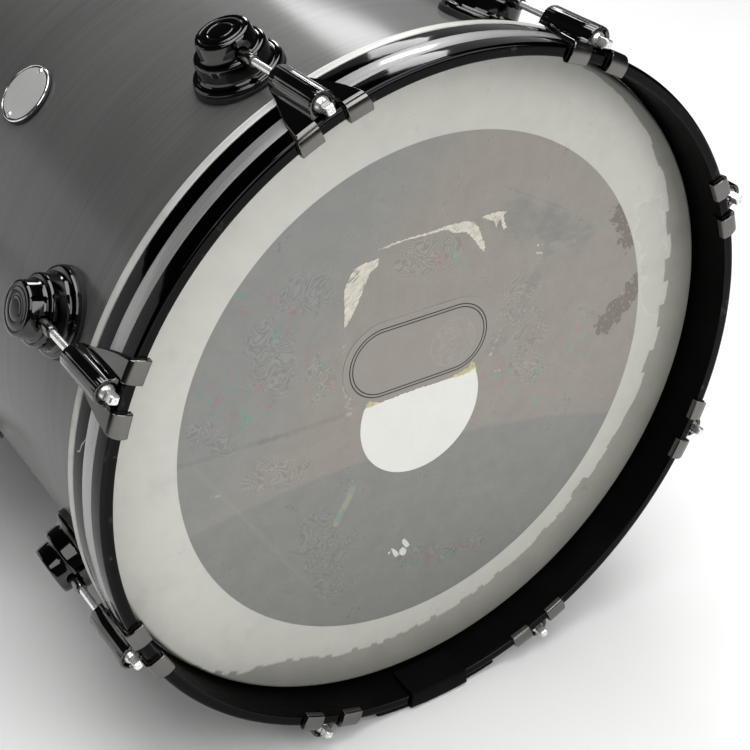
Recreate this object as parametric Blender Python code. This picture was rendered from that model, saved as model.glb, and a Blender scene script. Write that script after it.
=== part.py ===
# Bass drum: 20-inch wood shell, two heads, two wood hoops, sixteen claw, rod and
# lug sets, a rubber pedal guard, a shell badge and two folding spurs.
# Metres, +Z up. The drum's axis runs along Y, and the batter head faces -Y.
import math

import bmesh
import bpy
from mathutils import Matrix, Vector

# ---------------------------------------------------------------- dimensions
SEG = 48                    # facets round the shell, heads and hoops

SHELL_R = 0.2540            # shell outside radius (20 inch nominal)
SHELL_T = 0.0075            # shell wall
SHELL_L = 0.5080            # shell depth (20 inch nominal)

GAP = 0.0003                # clearance between touching pieces
FILM_T = 0.0006             # head film
FILM_D = 0.0323             # hoop front plane to head film
HALF_L = SHELL_L / 2 + GAP + FILM_T + FILM_D    # centre to hoop front plane

HOOP_RO = 0.2700            # hoop outside radius
HOOP_RI = 0.2614            # hoop inside radius
HOOP_W = 0.0417             # hoop width along the axis
FLESH_RO = 0.2655           # flesh hoop outside radius
FLESH_RI = 0.2565           # flesh hoop inside radius
FLESH_D = 0.0590            # back of the flesh hoop, from the hoop front plane

SETS = 8                    # claw, rod and lug sets per head
SET_0 = 22.5                # first set, degrees from the top
ROD_RAD = 0.2762            # drum axis to rod axis
ROD_R = 0.00265             # rod shank radius
ROD_TIP = -0.0056           # rod head tip, from the hoop front plane
ROD_END = 0.1060            # rod's threaded end, from the hoop front plane
BORE_R = 0.00315            # rod holes in claws and lugs

CLAW_T = 0.0277             # claw half width at the hooks' ends
CLAW_TOP = 0.0246           # the same on top of the hoop's front edge
WING_BACK = 0.0470          # how far back the wings run
CLAW_GAP = 0.0100           # half of the gap between a claw's two hooks
CLAW_RI = 0.2707            # underside of the claw, over the hoop
CLAW_RO = 0.2734            # top of the claw's wings
BARREL_R = 0.0093           # claw barrel round the rod
BARREL_D0 = 0.0045          # barrel front
BARREL_D1 = 0.0540          # barrel back

LUG_D = 0.1200              # lug centre, from the hoop front plane
LUG_BASE_R = 0.2544         # lug foot, just clear of the shell
SOCKET_R = 0.0045           # swivel nut's nose
SOCKET_Y = 0.0345           # nose end, from the lug's centre

GUARD_RO = 0.2743           # pedal guard outside radius
AXIS_Z = 0.2738             # drum axis above the floor
GUARD_HALF = 12.0           # guard half angle outside the hoop, degrees
GUARD_LIP = 5.75            # guard half angle over the hoop's front edge
GUARD_PAD = 0.2570          # drum axis to the guard's flat seat inside the hoop

BADGE_A = -45.3             # badge place round the shell, degrees from the top
BADGE_LT = 0.0230           # badge half length round the shell
BADGE_LY = 0.0258           # badge half width along the axis

SPUR_A = 120.0              # spur bracket place, degrees from the top
SPUR_Y = 0.0850             # spur bracket place along the axis
SPUR_OUT = 0.0340           # pivot's height over the shell
SPUR_SPLAY = 25.0           # leg's outward lean, degrees
SPUR_FWD = 40.0             # leg's forward lean, degrees
EYE_R = 0.0145              # leg's eye
EYE_T = 0.0130
FOOT_R = 0.0110             # rubber foot


# ---------------------------------------------------------------- helpers
for old in list(bpy.data.objects):
    bpy.data.objects.remove(old, do_unlink=True)

MATERIALS = {}


def material(name, colour, rough, metal):
    if name in MATERIALS:
        return MATERIALS[name]
    m = bpy.data.materials.new(name)
    m.use_nodes = True
    b = m.node_tree.nodes["Principled BSDF"]
    b.inputs["Base Color"].default_value = (*colour, 1.0)
    b.inputs["Roughness"].default_value = rough
    b.inputs["Metallic"].default_value = metal
    MATERIALS[name] = m
    return m


def finish_mesh(bm, name):
    bmesh.ops.recalc_face_normals(bm, faces=bm.faces)
    me = bpy.data.meshes.new(name)
    bm.to_mesh(me)
    bm.free()
    return me


def loft(rings, name, closed=False):
    """Skin a row of rings with equal counts. A ring of one point is a pole."""
    bm = bmesh.new()
    vs = [[bm.verts.new(p) for p in ring] for ring in rings]
    pairs = list(zip(vs, vs[1:] + vs[:1])) if closed else list(zip(vs, vs[1:]))
    for a, b in pairs:
        n = max(len(a), len(b))
        for i in range(n):
            j = (i + 1) % n
            if len(a) == 1:
                bm.faces.new((a[0], b[j], b[i]))
            elif len(b) == 1:
                bm.faces.new((a[i], a[j], b[0]))
            else:
                bm.faces.new((a[i], a[j], b[j], b[i]))
    if not closed:
        if len(vs[0]) > 2:
            bm.faces.new(list(reversed(vs[0])))
        if len(vs[-1]) > 2:
            bm.faces.new(vs[-1])
    return finish_mesh(bm, name)


def spin_y(profile, name, side, seg=SEG, closed=True):
    """Turn a (radius, depth) profile round the drum axis. Depth counts from
    the hoop's front plane; side is -1 for the batter end, 1 for the other."""
    rings = []
    for r, d in profile:
        y = side * (HALF_L - d)
        if r == 0:
            rings.append([(0.0, y, AXIS_Z)])
        else:
            rings.append([(r * math.sin(2 * math.pi * k / seg), y,
                           AXIS_Z + r * math.cos(2 * math.pi * k / seg))
                          for k in range(seg)])
    return loft(rings, name, closed)


def circle(r, n, turn=0.0):
    return [(r * math.cos(2 * math.pi * k / n + turn),
             r * math.sin(2 * math.pi * k / n + turn)) for k in range(n)]


def combine(base, other, how, name):
    """Exact Boolean of two meshes, returned as a new mesh."""
    a = bpy.data.objects.new("tmp_a", base)
    b = bpy.data.objects.new("tmp_b", other)
    for o in (a, b):
        bpy.context.scene.collection.objects.link(o)
    b.hide_render = True
    b.display_type = 'WIRE'
    mod = a.modifiers.new("cut", 'BOOLEAN')
    mod.operation = how
    mod.solver = 'EXACT'
    mod.object = b
    dg = bpy.context.evaluated_depsgraph_get()
    dg.update()
    me = bpy.data.meshes.new_from_object(a.evaluated_get(dg))
    me.name = name
    for o in (a, b):
        bpy.data.objects.remove(o, do_unlink=True)
    bm = bmesh.new()
    bm.from_mesh(me)
    bmesh.ops.dissolve_degenerate(bm, dist=1e-6, edges=bm.edges)
    bmesh.ops.recalc_face_normals(bm, faces=bm.faces)
    bm.to_mesh(me)
    bm.free()
    return me


def place(name, mesh, mat, matrix=None, parent=None):
    o = bpy.data.objects.new(name, mesh)
    bpy.context.scene.collection.objects.link(o)
    if not mesh.materials:
        mesh.materials.append(mat)
    if parent is not None:
        o.parent = parent
    if matrix is not None:
        o.matrix_world = matrix
    mesh.shade_smooth()
    mesh.set_sharp_from_angle(angle=math.radians(35))
    return o


def station(side, angle_deg, radius, depth):
    """Local frame of a set: z points out of the drum, y into it from the
    nearer hoop's front plane, x runs round the hoop."""
    a = math.radians(angle_deg)
    pos = Vector((radius * math.sin(a), side * (HALF_L - depth),
                  AXIS_Z + radius * math.cos(a)))
    rot = Matrix.Rotation(a, 4, 'Y')
    if side > 0:
        rot = rot @ Matrix.Rotation(math.pi, 4, 'Z')
    return Matrix.Translation(pos) @ rot


# ---------------------------------------------------------------- finishes
LACQUER = material("shell_lacquer", (0.10, 0.10, 0.10), 0.32, 0.35)
BLACK = material("hoop_black", (0.006, 0.006, 0.007), 0.08, 0.0)
FILM = material("head_film", (0.36, 0.35, 0.33), 0.45, 0.0)
NICKEL = material("black_nickel", (0.05, 0.05, 0.052), 0.12, 1.0)
CHROME = material("rod_chrome", (0.78, 0.78, 0.78), 0.10, 1.0)
RUBBER = material("guard_rubber", (0.012, 0.012, 0.012), 0.75, 0.0)
PLATE = material("badge_plate", (0.55, 0.55, 0.54), 0.30, 1.0)
BRACKET = material("spur_nickel", (0.06, 0.06, 0.062), 0.18, 1.0)

# ---------------------------------------------------------------- shell
h = SHELL_L / 2
edge = [                                    # (radius, distance from the end)
    (SHELL_R - SHELL_T, 0.0030), (SHELL_R - 0.0045, 0.0), (SHELL_R - 0.0035, 0.0),
    (SHELL_R - 0.0014, 0.0017), (SHELL_R, 0.0042)]
lip = HALF_L - h                            # bearing edge's depth
front = [(r, lip + e) for r, e in edge]
back = [(r, lip + SHELL_L - e) for r, e in reversed(edge)]
place("shell", spin_y(front + back, "shell", -1), LACQUER)

# ---------------------------------------------------------------- heads
rim = HOOP_W + GAP
head_profile = [
    (0, FILM_D), (0.2512, FILM_D), (0.2548, 0.0340), (0.2585, 0.0380),
    (0.2606, rim), (FLESH_RO, rim), (FLESH_RO, FLESH_D), (FLESH_RI, FLESH_D),
    (FLESH_RI, 0.0385), (0.2542, 0.0346), (0.2510, FILM_D + FILM_T),
    (0, FILM_D + FILM_T)]
place("batter_head", spin_y(head_profile, "batter_head", -1, closed=False), FILM)
place("resonant_head", spin_y(head_profile, "resonant_head", 1, closed=False), FILM)

# ---------------------------------------------------------------- hoops
hoop_profile = [
    (HOOP_RI, 0.0012), (HOOP_RI + 0.0012, 0.0), (HOOP_RO - 0.0032, 0.0),
    (HOOP_RO - 0.0009, 0.0009), (HOOP_RO, 0.0032), (HOOP_RO, HOOP_W - 0.0008),
    (HOOP_RO - 0.0008, HOOP_W), (HOOP_RI, HOOP_W)]
place("batter_hoop", spin_y(hoop_profile, "batter_hoop", -1), BLACK)
place("resonant_hoop", spin_y(hoop_profile, "resonant_hoop", 1), BLACK)


# ---------------------------------------------------------------- claws
def round_hoop(t, r, d):
    """Point at arc t round the hoop, radius r and depth d, seen from the rod."""
    a = t / HOOP_RO
    return (r * math.sin(a), d, r * math.cos(a) - ROD_RAD)


def wing_edge(r, d):
    """How far a wing's outer edge stands from the claw's middle, at (r, d) on its profile."""
    if d >= 0 and r > HOOP_RO:
        return 0.0104 + (CLAW_TOP - 0.0104) * (1.0 - (d / WING_BACK) ** 1.4)
    h = min(1.0, max(0.0, (CLAW_RO - r) / 0.0115))
    return CLAW_TOP + (CLAW_T - CLAW_TOP) * (1.0 - (1.0 - h) ** 2)


def claw_wing(sign):
    back = (0.0458, 0.0360, 0.0250, 0.0120)
    prof = [(CLAW_RO, d) for d in back]
    prof += [(CLAW_RO, -0.0004), (0.2716, -0.0030), (0.2660, -0.0030), (0.2585, -0.0030), (0.2585, 0.0026),
             (0.2604, 0.0026), (0.2604, -0.0005), (CLAW_RI, -0.0005)]
    prof += [(CLAW_RI, d) for d in reversed(back)]
    cols = []
    for u in (0.0, 0.5, 1.0):
        cols.append([round_hoop(sign * (CLAW_GAP + u * (wing_edge(r, d) - CLAW_GAP)), r, d) for r, d in prof])
    return loft(cols, "wing")


def claw_barrel():
    out = [(-0.0112, 0.27095 - ROD_RAD), (-0.0112, 0.2731 - ROD_RAD)]
    out += [(-BARREL_R * math.cos(math.pi * k / 6), BARREL_R * math.sin(math.pi * k / 6))
            for k in range(7)]
    out += [(0.0112, 0.2731 - ROD_RAD), (0.0112, 0.27095 - ROD_RAD)]
    return loft([[(x, d, z) for x, z in out] for d in (BARREL_D0, BARREL_D1)], "barrel")


def rod_hole():
    steps = [(0.0067, -0.0010), (0.0067, 0.0085), (BORE_R, 0.0085), (BORE_R, 0.0600)]
    return loft([[(x, d, z) for x, z in circle(r, 12)] for r, d in steps], "rod_hole")


claw_mesh = combine(claw_barrel(), claw_wing(1), 'UNION', "claw")
claw_mesh = combine(claw_mesh, claw_wing(-1), 'UNION', "claw")
claw_mesh = combine(claw_mesh, rod_hole(), 'DIFFERENCE', "claw")


# ---------------------------------------------------------------- tension rods
def square_ring(half, cut):
    a, b = half, half - cut
    return [(a, b), (b, a), (-b, a), (-a, b), (-a, -b), (-b, -a), (b, -a), (a, -b)]


turn = math.pi / 8
rod_steps = [
    (square_ring(0.0024, 0.0008), ROD_TIP), (square_ring(0.00315, 0.0009), ROD_TIP + 0.0008),
    (square_ring(0.00315, 0.0009), 0.0034), (circle(0.0043, 8, turn), 0.0040),
    (circle(0.0056, 8, turn), 0.0056), (circle(0.0056, 8, turn), 0.0082),
    (circle(ROD_R, 8, turn), 0.0082), (circle(ROD_R, 8, turn), ROD_END - 0.0012),
    (circle(ROD_R - 0.0009, 8, turn), ROD_END)]
rod_mesh = loft([[(x, d, z) for x, z in pts] for pts, d in rod_steps], "rod")


# ---------------------------------------------------------------- lugs
LUG_STEPS = [               # (radius, height over the shell)
    (0.0310, 0.0044), (0.0298, 0.0060), (0.0254, 0.0078), (0.0246, 0.0196),
    (0.0201, 0.0212), (0.0184, 0.0318)]


def lug_turret():
    n = 12
    rings = [[(0.0, 0.0, 0.0)]]
    foot = []
    for x, y in circle(0.0310, n):
        foot.append((x, y, math.sqrt(LUG_BASE_R ** 2 - x * x) - LUG_BASE_R))
    rings.append(foot)
    for r, z in LUG_STEPS:
        rings.append([(x, y, z) for x, y in circle(r, n)])
    rings.append([(0.0, 0.0, 0.0334)])
    return loft(rings, "turret")


NUT_Z = ROD_RAD - LUG_BASE_R
nose = loft([[(x, y, NUT_Z + z) for x, z in circle(SOCKET_R, 12)]
             for y in (-0.0100, -SOCKET_Y)], "nose")
thread = loft([[(x, y, NUT_Z + z) for x, z in circle(BORE_R, 12)]
               for y in (-0.0080, -SOCKET_Y - 0.0050)], "thread")
lug_mesh = combine(lug_turret(), nose, 'UNION', "lug")
lug_mesh = combine(lug_mesh, thread, 'DIFFERENCE', "lug")

# ---------------------------------------------------------------- the sets
for side, end in ((-1, "batter"), (1, "resonant")):
    for k in range(SETS):
        a = SET_0 + 360.0 / SETS * k
        axle = bpy.data.objects.new(f"{end}_axis_{k + 1}", None)
        bpy.context.scene.collection.objects.link(axle)
        axle.matrix_world = station(side, a, ROD_RAD, 0.0)
        place(f"{end}_claw_{k + 1}", claw_mesh, NICKEL, station(side, a, ROD_RAD, 0.0), axle)
        place(f"{end}_rod_{k + 1}", rod_mesh, CHROME, station(side, a, ROD_RAD, 0.0), axle)
        place(f"{end}_lug_{k + 1}", lug_mesh, NICKEL, station(side, a, LUG_BASE_R, LUG_D))


# ---------------------------------------------------------------- pedal guard
def at(a_deg, r, d):
    a = math.radians(180.0 + a_deg)
    return (r * math.sin(a), -HALF_L + d, AXIS_Z + r * math.cos(a))


flat = math.degrees(math.acos(AXIS_Z / GUARD_RO))   # half angle of the foot
plate_cols = []
for a in (-GUARD_HALF, -9.0, -6.0, -flat, 0.0, flat, 6.0, 9.0, GUARD_HALF):
    ro = min(GUARD_RO, AXIS_Z / math.cos(math.radians(a)))
    plate_cols.append([at(a, r, d) for r, d in
                       ((HOOP_RO + GAP, 0.0010), (ro, 0.0010), (ro, 0.0400), (HOOP_RO + GAP, 0.0400))])
saddle_cols = []
for a in (-GUARD_LIP, -2.9, 0.0, 2.9, GUARD_LIP):
    pad = GUARD_PAD / math.cos(math.radians(a))     # flat seat for a pedal's clamp
    saddle_cols.append([at(a, r, d) for r, d in
                        ((0.2730, 0.0200), (0.2730, -0.0012), (0.2712, -0.0030),
                         (pad + 0.0016, -0.0030), (pad, -0.0014), (pad, 0.0270),
                         (0.2604, 0.0270), (0.2604, -0.0004),
                         (0.2706, -0.0004), (0.2706, 0.0200))])
guard_mesh = combine(loft(plate_cols, "guard_plate"), loft(saddle_cols, "guard_lip"),
                     'UNION', "pedal_guard")
place("pedal_guard", guard_mesh, RUBBER)

# ---------------------------------------------------------------- badge
rings = []
base_r = SHELL_R + 0.0004
for grow, z in ((None, 0.0), (1.0, 0.0), (1.0, 0.0024), (0.95, 0.0030), (None, 0.0032)):
    if grow is None:
        rings.append([(base_r + z) * Vector((0, 0, 1)) - Vector((0, 0, SHELL_R))])
        continue
    ring = []
    for k in range(32):
        u = 2 * math.pi * k / 32
        t, y = BADGE_LT * grow * math.cos(u), BADGE_LY * grow * math.sin(u)
        g = t / SHELL_R
        ring.append(Vector(((base_r + z) * math.sin(g), y, (base_r + z) * math.cos(g) - SHELL_R)))
    rings.append(ring)
place("badge", loft(rings, "badge"), PLATE, station(-1, BADGE_A, SHELL_R, HALF_L))


# ---------------------------------------------------------------- spurs
def spur(sx, word):
    """One spur. It is worked out for the +X side and mirrored for the other."""
    def mirror(rings):
        return [[Vector((sx * p.x, p.y, p.z)) for p in ring] for ring in rings]

    a = math.radians(SPUR_A)
    fore = Vector((0, 1, 0))
    out = Vector((math.sin(a), 0, math.cos(a)))
    pivot = Vector((0, SPUR_Y, AXIS_Z)) + (SHELL_R + SPUR_OUT) * out
    lean = math.radians(SPUR_SPLAY)
    down = Vector((math.sin(lean), 0, -math.cos(lean)))
    pin = Vector((math.cos(lean), 0, math.sin(lean)))
    fwd = math.radians(SPUR_FWD)
    leg = math.cos(fwd) * down + math.sin(fwd) * fore

    # bracket: rounded foot on the shell, swept to the round face of the pivot
    n = 16
    foot, collar, neck, face = [], [], [], []
    centre = pivot - pin * (EYE_T / 2 + GAP)
    for k in range(n):
        u = 2 * math.pi * k / n
        c, s = math.cos(u), math.sin(u)
        q = (abs(c) ** 4 + abs(s) ** 4) ** -0.25      # rounded rectangle
        for lift, ring, grow in ((0.0005, foot, 1.0), (0.0060, collar, 0.94)):
            g = a + grow * 0.022 * q * s / SHELL_R
            r = SHELL_R + lift
            ring.append(Vector((r * math.sin(g), SPUR_Y + grow * 0.030 * q * c,
                                AXIS_Z + r * math.cos(g))))
        rim_pt = EYE_R * (c * fore + s * down)
        neck.append(centre - 0.0040 * pin + rim_pt)
        face.append(centre + rim_pt)
    middle = Vector((0, SPUR_Y, AXIS_Z)) + (SHELL_R + 0.0005) * out
    name = f"spur_bracket_{word}"
    place(name, loft(mirror([[middle], foot, collar, neck, face]), name), BRACKET)

    # leg: eye on the pivot, tapered shank, rubber foot flat on the floor
    joint = bpy.data.objects.new(f"spur_axis_{word}", None)
    bpy.context.scene.collection.objects.link(joint)
    spot = Vector((sx * pivot.x, pivot.y, pivot.z))
    joint.location = spot
    reach = pivot.z / -leg.z
    across = pin.cross(leg).normalized()
    rings = [[along * leg + r * (c * across + s * pin) for c, s in circle(1.0, 12)]
             for along, r in ((0.006, 0.0061), (0.019, 0.0061), (0.030, 0.0078),
                              (reach - 0.034, 0.0062), (reach - 0.033, 0.0098),
                              (reach - 0.012, FOOT_R))]
    flat_a = Vector((across.x, across.y, 0)).normalized()
    flat_p = Vector((pin.x, pin.y, 0))
    flat_p = (flat_p - flat_p.dot(flat_a) * flat_a).normalized()
    rings.append([reach * leg + 0.0100 * (c * flat_a + s * flat_p) for c, s in circle(1.0, 12)])
    shank = loft(mirror(rings), "shank")
    eye = loft(mirror([[z * pin + EYE_R * (c * fore + s * down) for c, s in circle(1.0, 16)]
                       for z in (-EYE_T / 2, EYE_T / 2)]), "eye")
    name = f"spur_leg_{word}"
    place(name, combine(eye, shank, 'UNION', name), BRACKET, Matrix.Translation(spot), joint)


spur(1, "right")
spur(-1, "left")
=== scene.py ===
import math
import random

import bmesh
import bpy
from mathutils import Matrix, Vector, noise


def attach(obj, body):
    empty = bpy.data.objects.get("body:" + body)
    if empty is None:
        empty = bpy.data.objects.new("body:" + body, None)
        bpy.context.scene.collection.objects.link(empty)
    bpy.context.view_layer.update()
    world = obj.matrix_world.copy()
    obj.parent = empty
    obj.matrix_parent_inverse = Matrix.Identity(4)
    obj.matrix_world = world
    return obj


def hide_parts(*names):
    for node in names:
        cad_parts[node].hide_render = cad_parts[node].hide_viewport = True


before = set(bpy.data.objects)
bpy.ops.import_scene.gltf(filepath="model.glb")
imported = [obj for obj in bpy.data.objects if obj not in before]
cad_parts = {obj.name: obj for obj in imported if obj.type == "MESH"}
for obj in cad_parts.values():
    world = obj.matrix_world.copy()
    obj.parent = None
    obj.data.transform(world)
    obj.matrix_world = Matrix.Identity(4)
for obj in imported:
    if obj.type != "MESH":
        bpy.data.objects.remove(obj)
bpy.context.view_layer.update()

# ------------------------------------------------------------------ dimensions
SHELL_R, SHELL_T, SHELL_L = 0.2540, 0.0075, 0.5080
FILM_D, FILM_T = 0.0323, 0.0006
HALF_L = SHELL_L / 2 + 0.0003 + FILM_T + FILM_D
HOOP_RO, HOOP_RI, HOOP_W = 0.2700, 0.2614, 0.0417
FLESH_RO, FLESH_D = 0.2655, 0.0590
ROD_RAD, ROD_R, ROD_END = 0.2762, 0.00265, 0.1060
CLAW_T, CLAW_GAP = 0.0278, 0.0100
CLAW_RI, CLAW_RO = 0.2707, 0.2734
BARREL_R, BARREL_D0, BARREL_D1 = 0.0093, 0.0045, 0.0540
LUG_D, LUG_BASE_R = 0.1200, 0.2544
AXIS_Z = 0.2738
GUARD_RO, GUARD_HALF, GUARD_LIP, GUARD_PAD = 0.2743, 12.0, 5.75, 0.2570
BADGE_A, BADGE_LT, BADGE_LY = -45.3, 0.0230, 0.0258
SPUR_A, SPUR_Y, SPUR_OUT, SPUR_SPLAY, SPUR_FWD = 120.0, 0.0850, 0.0340, 25.0, 40.0
EYE_R, EYE_T, FOOT_R, GAP = 0.0145, 0.0130, 0.0110, 0.0003
TAU = 2 * math.pi


# ------------------------------------------------------------------ node helpers
def lin(*c):
    """sRGB 0..255 to linear."""
    out = []
    for v in c:
        v = v / 255.0
        out.append(v / 12.92 if v <= 0.04045 else ((v + 0.055) / 1.055) ** 2.4)
    return tuple(out)


class Nodes:
    """Small builder for a material's node tree."""

    def __init__(self, name, **sockets):
        self.mat = bpy.data.materials.new(name)
        self.mat.use_nodes = True
        self.t = self.mat.node_tree
        self.bsdf = self.t.nodes["Principled BSDF"]
        for key, value in sockets.items():
            self.set(key.replace("_", " "), value)

    def set(self, key, value):
        s = self.bsdf.inputs[key]
        if isinstance(value, bpy.types.NodeSocket):
            self.t.links.new(value, s)
        elif hasattr(value, "__len__"):
            s.default_value = (*value, 1.0)
        else:
            s.default_value = value

    def node(self, kind, inputs=(), **props):
        n = self.t.nodes.new(kind)
        for k, v in props.items():
            setattr(n, k, v)
        for i, v in enumerate(inputs):
            self.feed(n.inputs[i], v)
        return n

    def feed(self, sock, v):
        if v is None:
            return
        if isinstance(v, bpy.types.NodeSocket):
            self.t.links.new(v, sock)
        elif hasattr(v, "__len__") and sock.type == 'RGBA' and len(v) == 3:
            sock.default_value = (*v, 1.0)
        else:
            sock.default_value = v

    def m(self, op, *args, clamp=False):
        n = self.node('ShaderNodeMath', operation=op, use_clamp=clamp)
        for i, v in enumerate(args):
            self.feed(n.inputs[i], v)
        return n.outputs[0]

    def coord(self):
        return self.node('ShaderNodeTexCoord').outputs["Object"]

    def split(self, v):
        n = self.node('ShaderNodeSeparateXYZ', (v,))
        return n.outputs[0], n.outputs[1], n.outputs[2]

    def scaled(self, v, s, off=(0, 0, 0)):
        n = self.node('ShaderNodeMapping')
        self.feed(n.inputs["Vector"], v)
        n.inputs["Scale"].default_value = s
        n.inputs["Location"].default_value = off
        return n.outputs[0]

    def noise(self, v, scale, detail=2.0, rough=0.5, dist=0.0):
        n = self.node('ShaderNodeTexNoise')
        self.feed(n.inputs["Vector"], v)
        n.inputs["Scale"].default_value = scale
        n.inputs["Detail"].default_value = detail
        n.inputs["Roughness"].default_value = rough
        n.inputs["Distortion"].default_value = dist
        return n.outputs[0]

    def cells(self, v, scale, feature='F1', rand=1.0):
        n = self.node('ShaderNodeTexVoronoi', feature=feature)
        self.feed(n.inputs["Vector"], v)
        n.inputs["Scale"].default_value = scale
        n.inputs["Randomness"].default_value = rand
        return n

    def step(self, v, lo, hi, a=0.0, b=1.0):
        n = self.node('ShaderNodeMapRange', interpolation_type='SMOOTHSTEP')
        for i, x in enumerate((v, lo, hi, a, b)):
            self.feed(n.inputs[i], x)
        return n.outputs[0]

    def span(self, v, lo, hi, a=0.0, b=1.0):
        n = self.node('ShaderNodeMapRange', clamp=True)
        for i, x in enumerate((v, lo, hi, a, b)):
            self.feed(n.inputs[i], x)
        return n.outputs[0]

    def mix(self, fac, a, b, mode='MIX'):
        n = self.node('ShaderNodeMix', data_type='RGBA', blend_type=mode)
        self.feed(n.inputs[0], fac)
        self.feed(n.inputs[6], a)
        self.feed(n.inputs[7], b)
        return n.outputs[2]

    def gain(self, colour, k):
        """Colour times a scalar."""
        n = self.node('ShaderNodeVectorMath', operation='SCALE')
        self.feed(n.inputs[0], colour)
        self.feed(n.inputs[3], k)
        return n.outputs[0]

    def bump(self, height, strength, dist, normal=None):
        n = self.node('ShaderNodeBump')
        n.inputs["Strength"].default_value = strength
        n.inputs["Distance"].default_value = dist
        self.feed(n.inputs["Height"], height)
        if normal is not None:
            self.feed(n.inputs["Normal"], normal)
        return n.outputs[0]

    def dist_seg(self, x, z, a, b):
        """Distance in the x, z plane to the segment from a to b."""
        ux, uz = b[0] - a[0], b[1] - a[1]
        l2 = ux * ux + uz * uz
        px, pz = self.m('SUBTRACT', x, a[0]), self.m('SUBTRACT', z, a[1])
        t = self.m('ADD', self.m('MULTIPLY', px, ux / l2), self.m('MULTIPLY', pz, uz / l2), clamp=True)
        qx = self.m('SUBTRACT', px, self.m('MULTIPLY', t, ux))
        qz = self.m('SUBTRACT', pz, self.m('MULTIPLY', t, uz))
        return self.m('SQRT', self.m('ADD', self.m('MULTIPLY', qx, qx), self.m('MULTIPLY', qz, qz)))


    def near(self, x, z, spots):
        """1 inside any of the capsules (from, to, width), falling to 0 at their edges."""
        best = None
        for a, b, w in spots:
            k = self.step(self.dist_seg(x, z, a, b), w, w * 0.35)
            best = k if best is None else self.m('MAXIMUM', best, k)
        return best


# ------------------------------------------------------------------ materials
def shell_lacquer():
    n = Nodes("shell_lacquer", Metallic=0.70, IOR=1.5)
    co = n.coord()
    # fine streaks run round the shell: quick along the axis, slow round it
    streak = n.noise(n.scaled(co, (5, 1300, 5)), 1.0, 4.0, 0.65)
    broad = n.noise(n.scaled(co, (3, 160, 3)), 1.0, 3.0, 0.55)
    cloud = n.noise(co, 9.0, 3.0, 0.5)
    v = n.m('ADD', n.m('MULTIPLY', streak, 0.8), n.m('MULTIPLY', broad, 0.2))
    col = n.mix(n.step(v, 0.32, 0.68), (0.088, 0.089, 0.087), (0.130, 0.131, 0.127))
    col = n.gain(col, n.span(cloud, 0.3, 0.7, 0.93, 1.07))
    specks = n.cells(co, 420.0).outputs["Distance"]
    dust = n.m('MULTIPLY', n.step(specks, 0.10, 0.04), n.step(n.noise(co, 26.0, 2.0), 0.56, 0.68))
    col = n.mix(n.m('MULTIPLY', dust, 0.25), col, (0.42, 0.42, 0.40))
    n.set("Base Color", col)
    n.set("Roughness", n.span(n.m('ADD', streak, n.m('MULTIPLY', cloud, 0.6)), 0.5, 1.1, 0.58, 0.72))
    n.set("Normal", n.bump(streak, 0.05, 0.0004))
    n.set("Coat Weight", 0.48)
    n.set("Coat Roughness", 0.20)
    return n.mat


def shell_wood():
    n = Nodes("shell_plies")
    co = n.coord()
    grain = n.noise(n.scaled(co, (16, 300, 16)), 1.0, 5.0, 0.6, 0.4)
    n.set("Base Color", n.mix(n.step(grain, 0.3, 0.7), (0.42, 0.27, 0.15), (0.60, 0.43, 0.26)))
    n.set("Roughness", n.span(grain, 0.2, 0.8, 0.45, 0.65))
    n.set("Normal", n.bump(grain, 0.2, 0.0004))
    return n.mat


def hoop_gloss(name, used, black=0.028, edge=0.74):
    """Black lacquer, a dark mirror with a dimmed edge; dust and scratches are dull."""
    n = Nodes(name)
    co = n.coord()
    peel = n.noise(co, 90.0, 2.0, 0.5)
    scuff = n.noise(n.scaled(co, (30, 600, 30)), 1.0, 3.0, 0.6)
    specks = n.cells(co, 520.0).outputs["Distance"]
    dust = n.m('MULTIPLY', n.step(specks, 0.11, 0.05), n.step(n.noise(co, 30.0, 2.0), 0.58, 0.66))
    dull = n.m('MULTIPLY', dust, 0.22)
    if used:
        # a zigzag scratch at the left, and rubbed spots along the front edge
        x, y, z = n.split(co)
        u = n.m('MULTIPLY', n.m('ARCTAN2', x, z), HOOP_RO)
        wander = n.m('MULTIPLY', n.m('SUBTRACT', n.noise(co, 260.0, 2.0), 0.5), 0.0010)
        for a, b in zip(SCRATCH, SCRATCH[1:]):
            d = n.m('ADD', n.dist_seg(u, y, a, b), wander)
            dull = n.m('MAXIMUM', dull, n.m('MULTIPLY', n.step(d, 0.00075, 0.00025), 0.80))
        rubbed = n.m('MULTIPLY', n.step(n.noise(n.scaled(co, (1, 4, 1)), 70.0, 3.0, 0.7), 0.60, 0.70), n.step(y, 0.0030, 0.0006))
        dull = n.m('MAXIMUM', dull, n.m('MULTIPLY', rubbed, 0.07))
    tone = n.mix(n.step(scuff, 0.62, 0.78), (black, black, black * 1.03), (black * 1.25, black * 1.25, black * 1.25))
    n.set("Base Color", n.mix(dull, tone, (0.36, 0.36, 0.35)))
    n.set("Metallic", n.m('SUBTRACT', 1.0, dull))
    n.set("Specular Tint", (edge, edge, edge))
    n.set("Roughness", n.m('ADD', n.span(scuff, 0.35, 0.75, 0.045, 0.13), n.m('MULTIPLY', dull, 0.4)))
    n.set("Normal", n.bump(peel, 0.10, 0.0006))
    return n.mat


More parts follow.
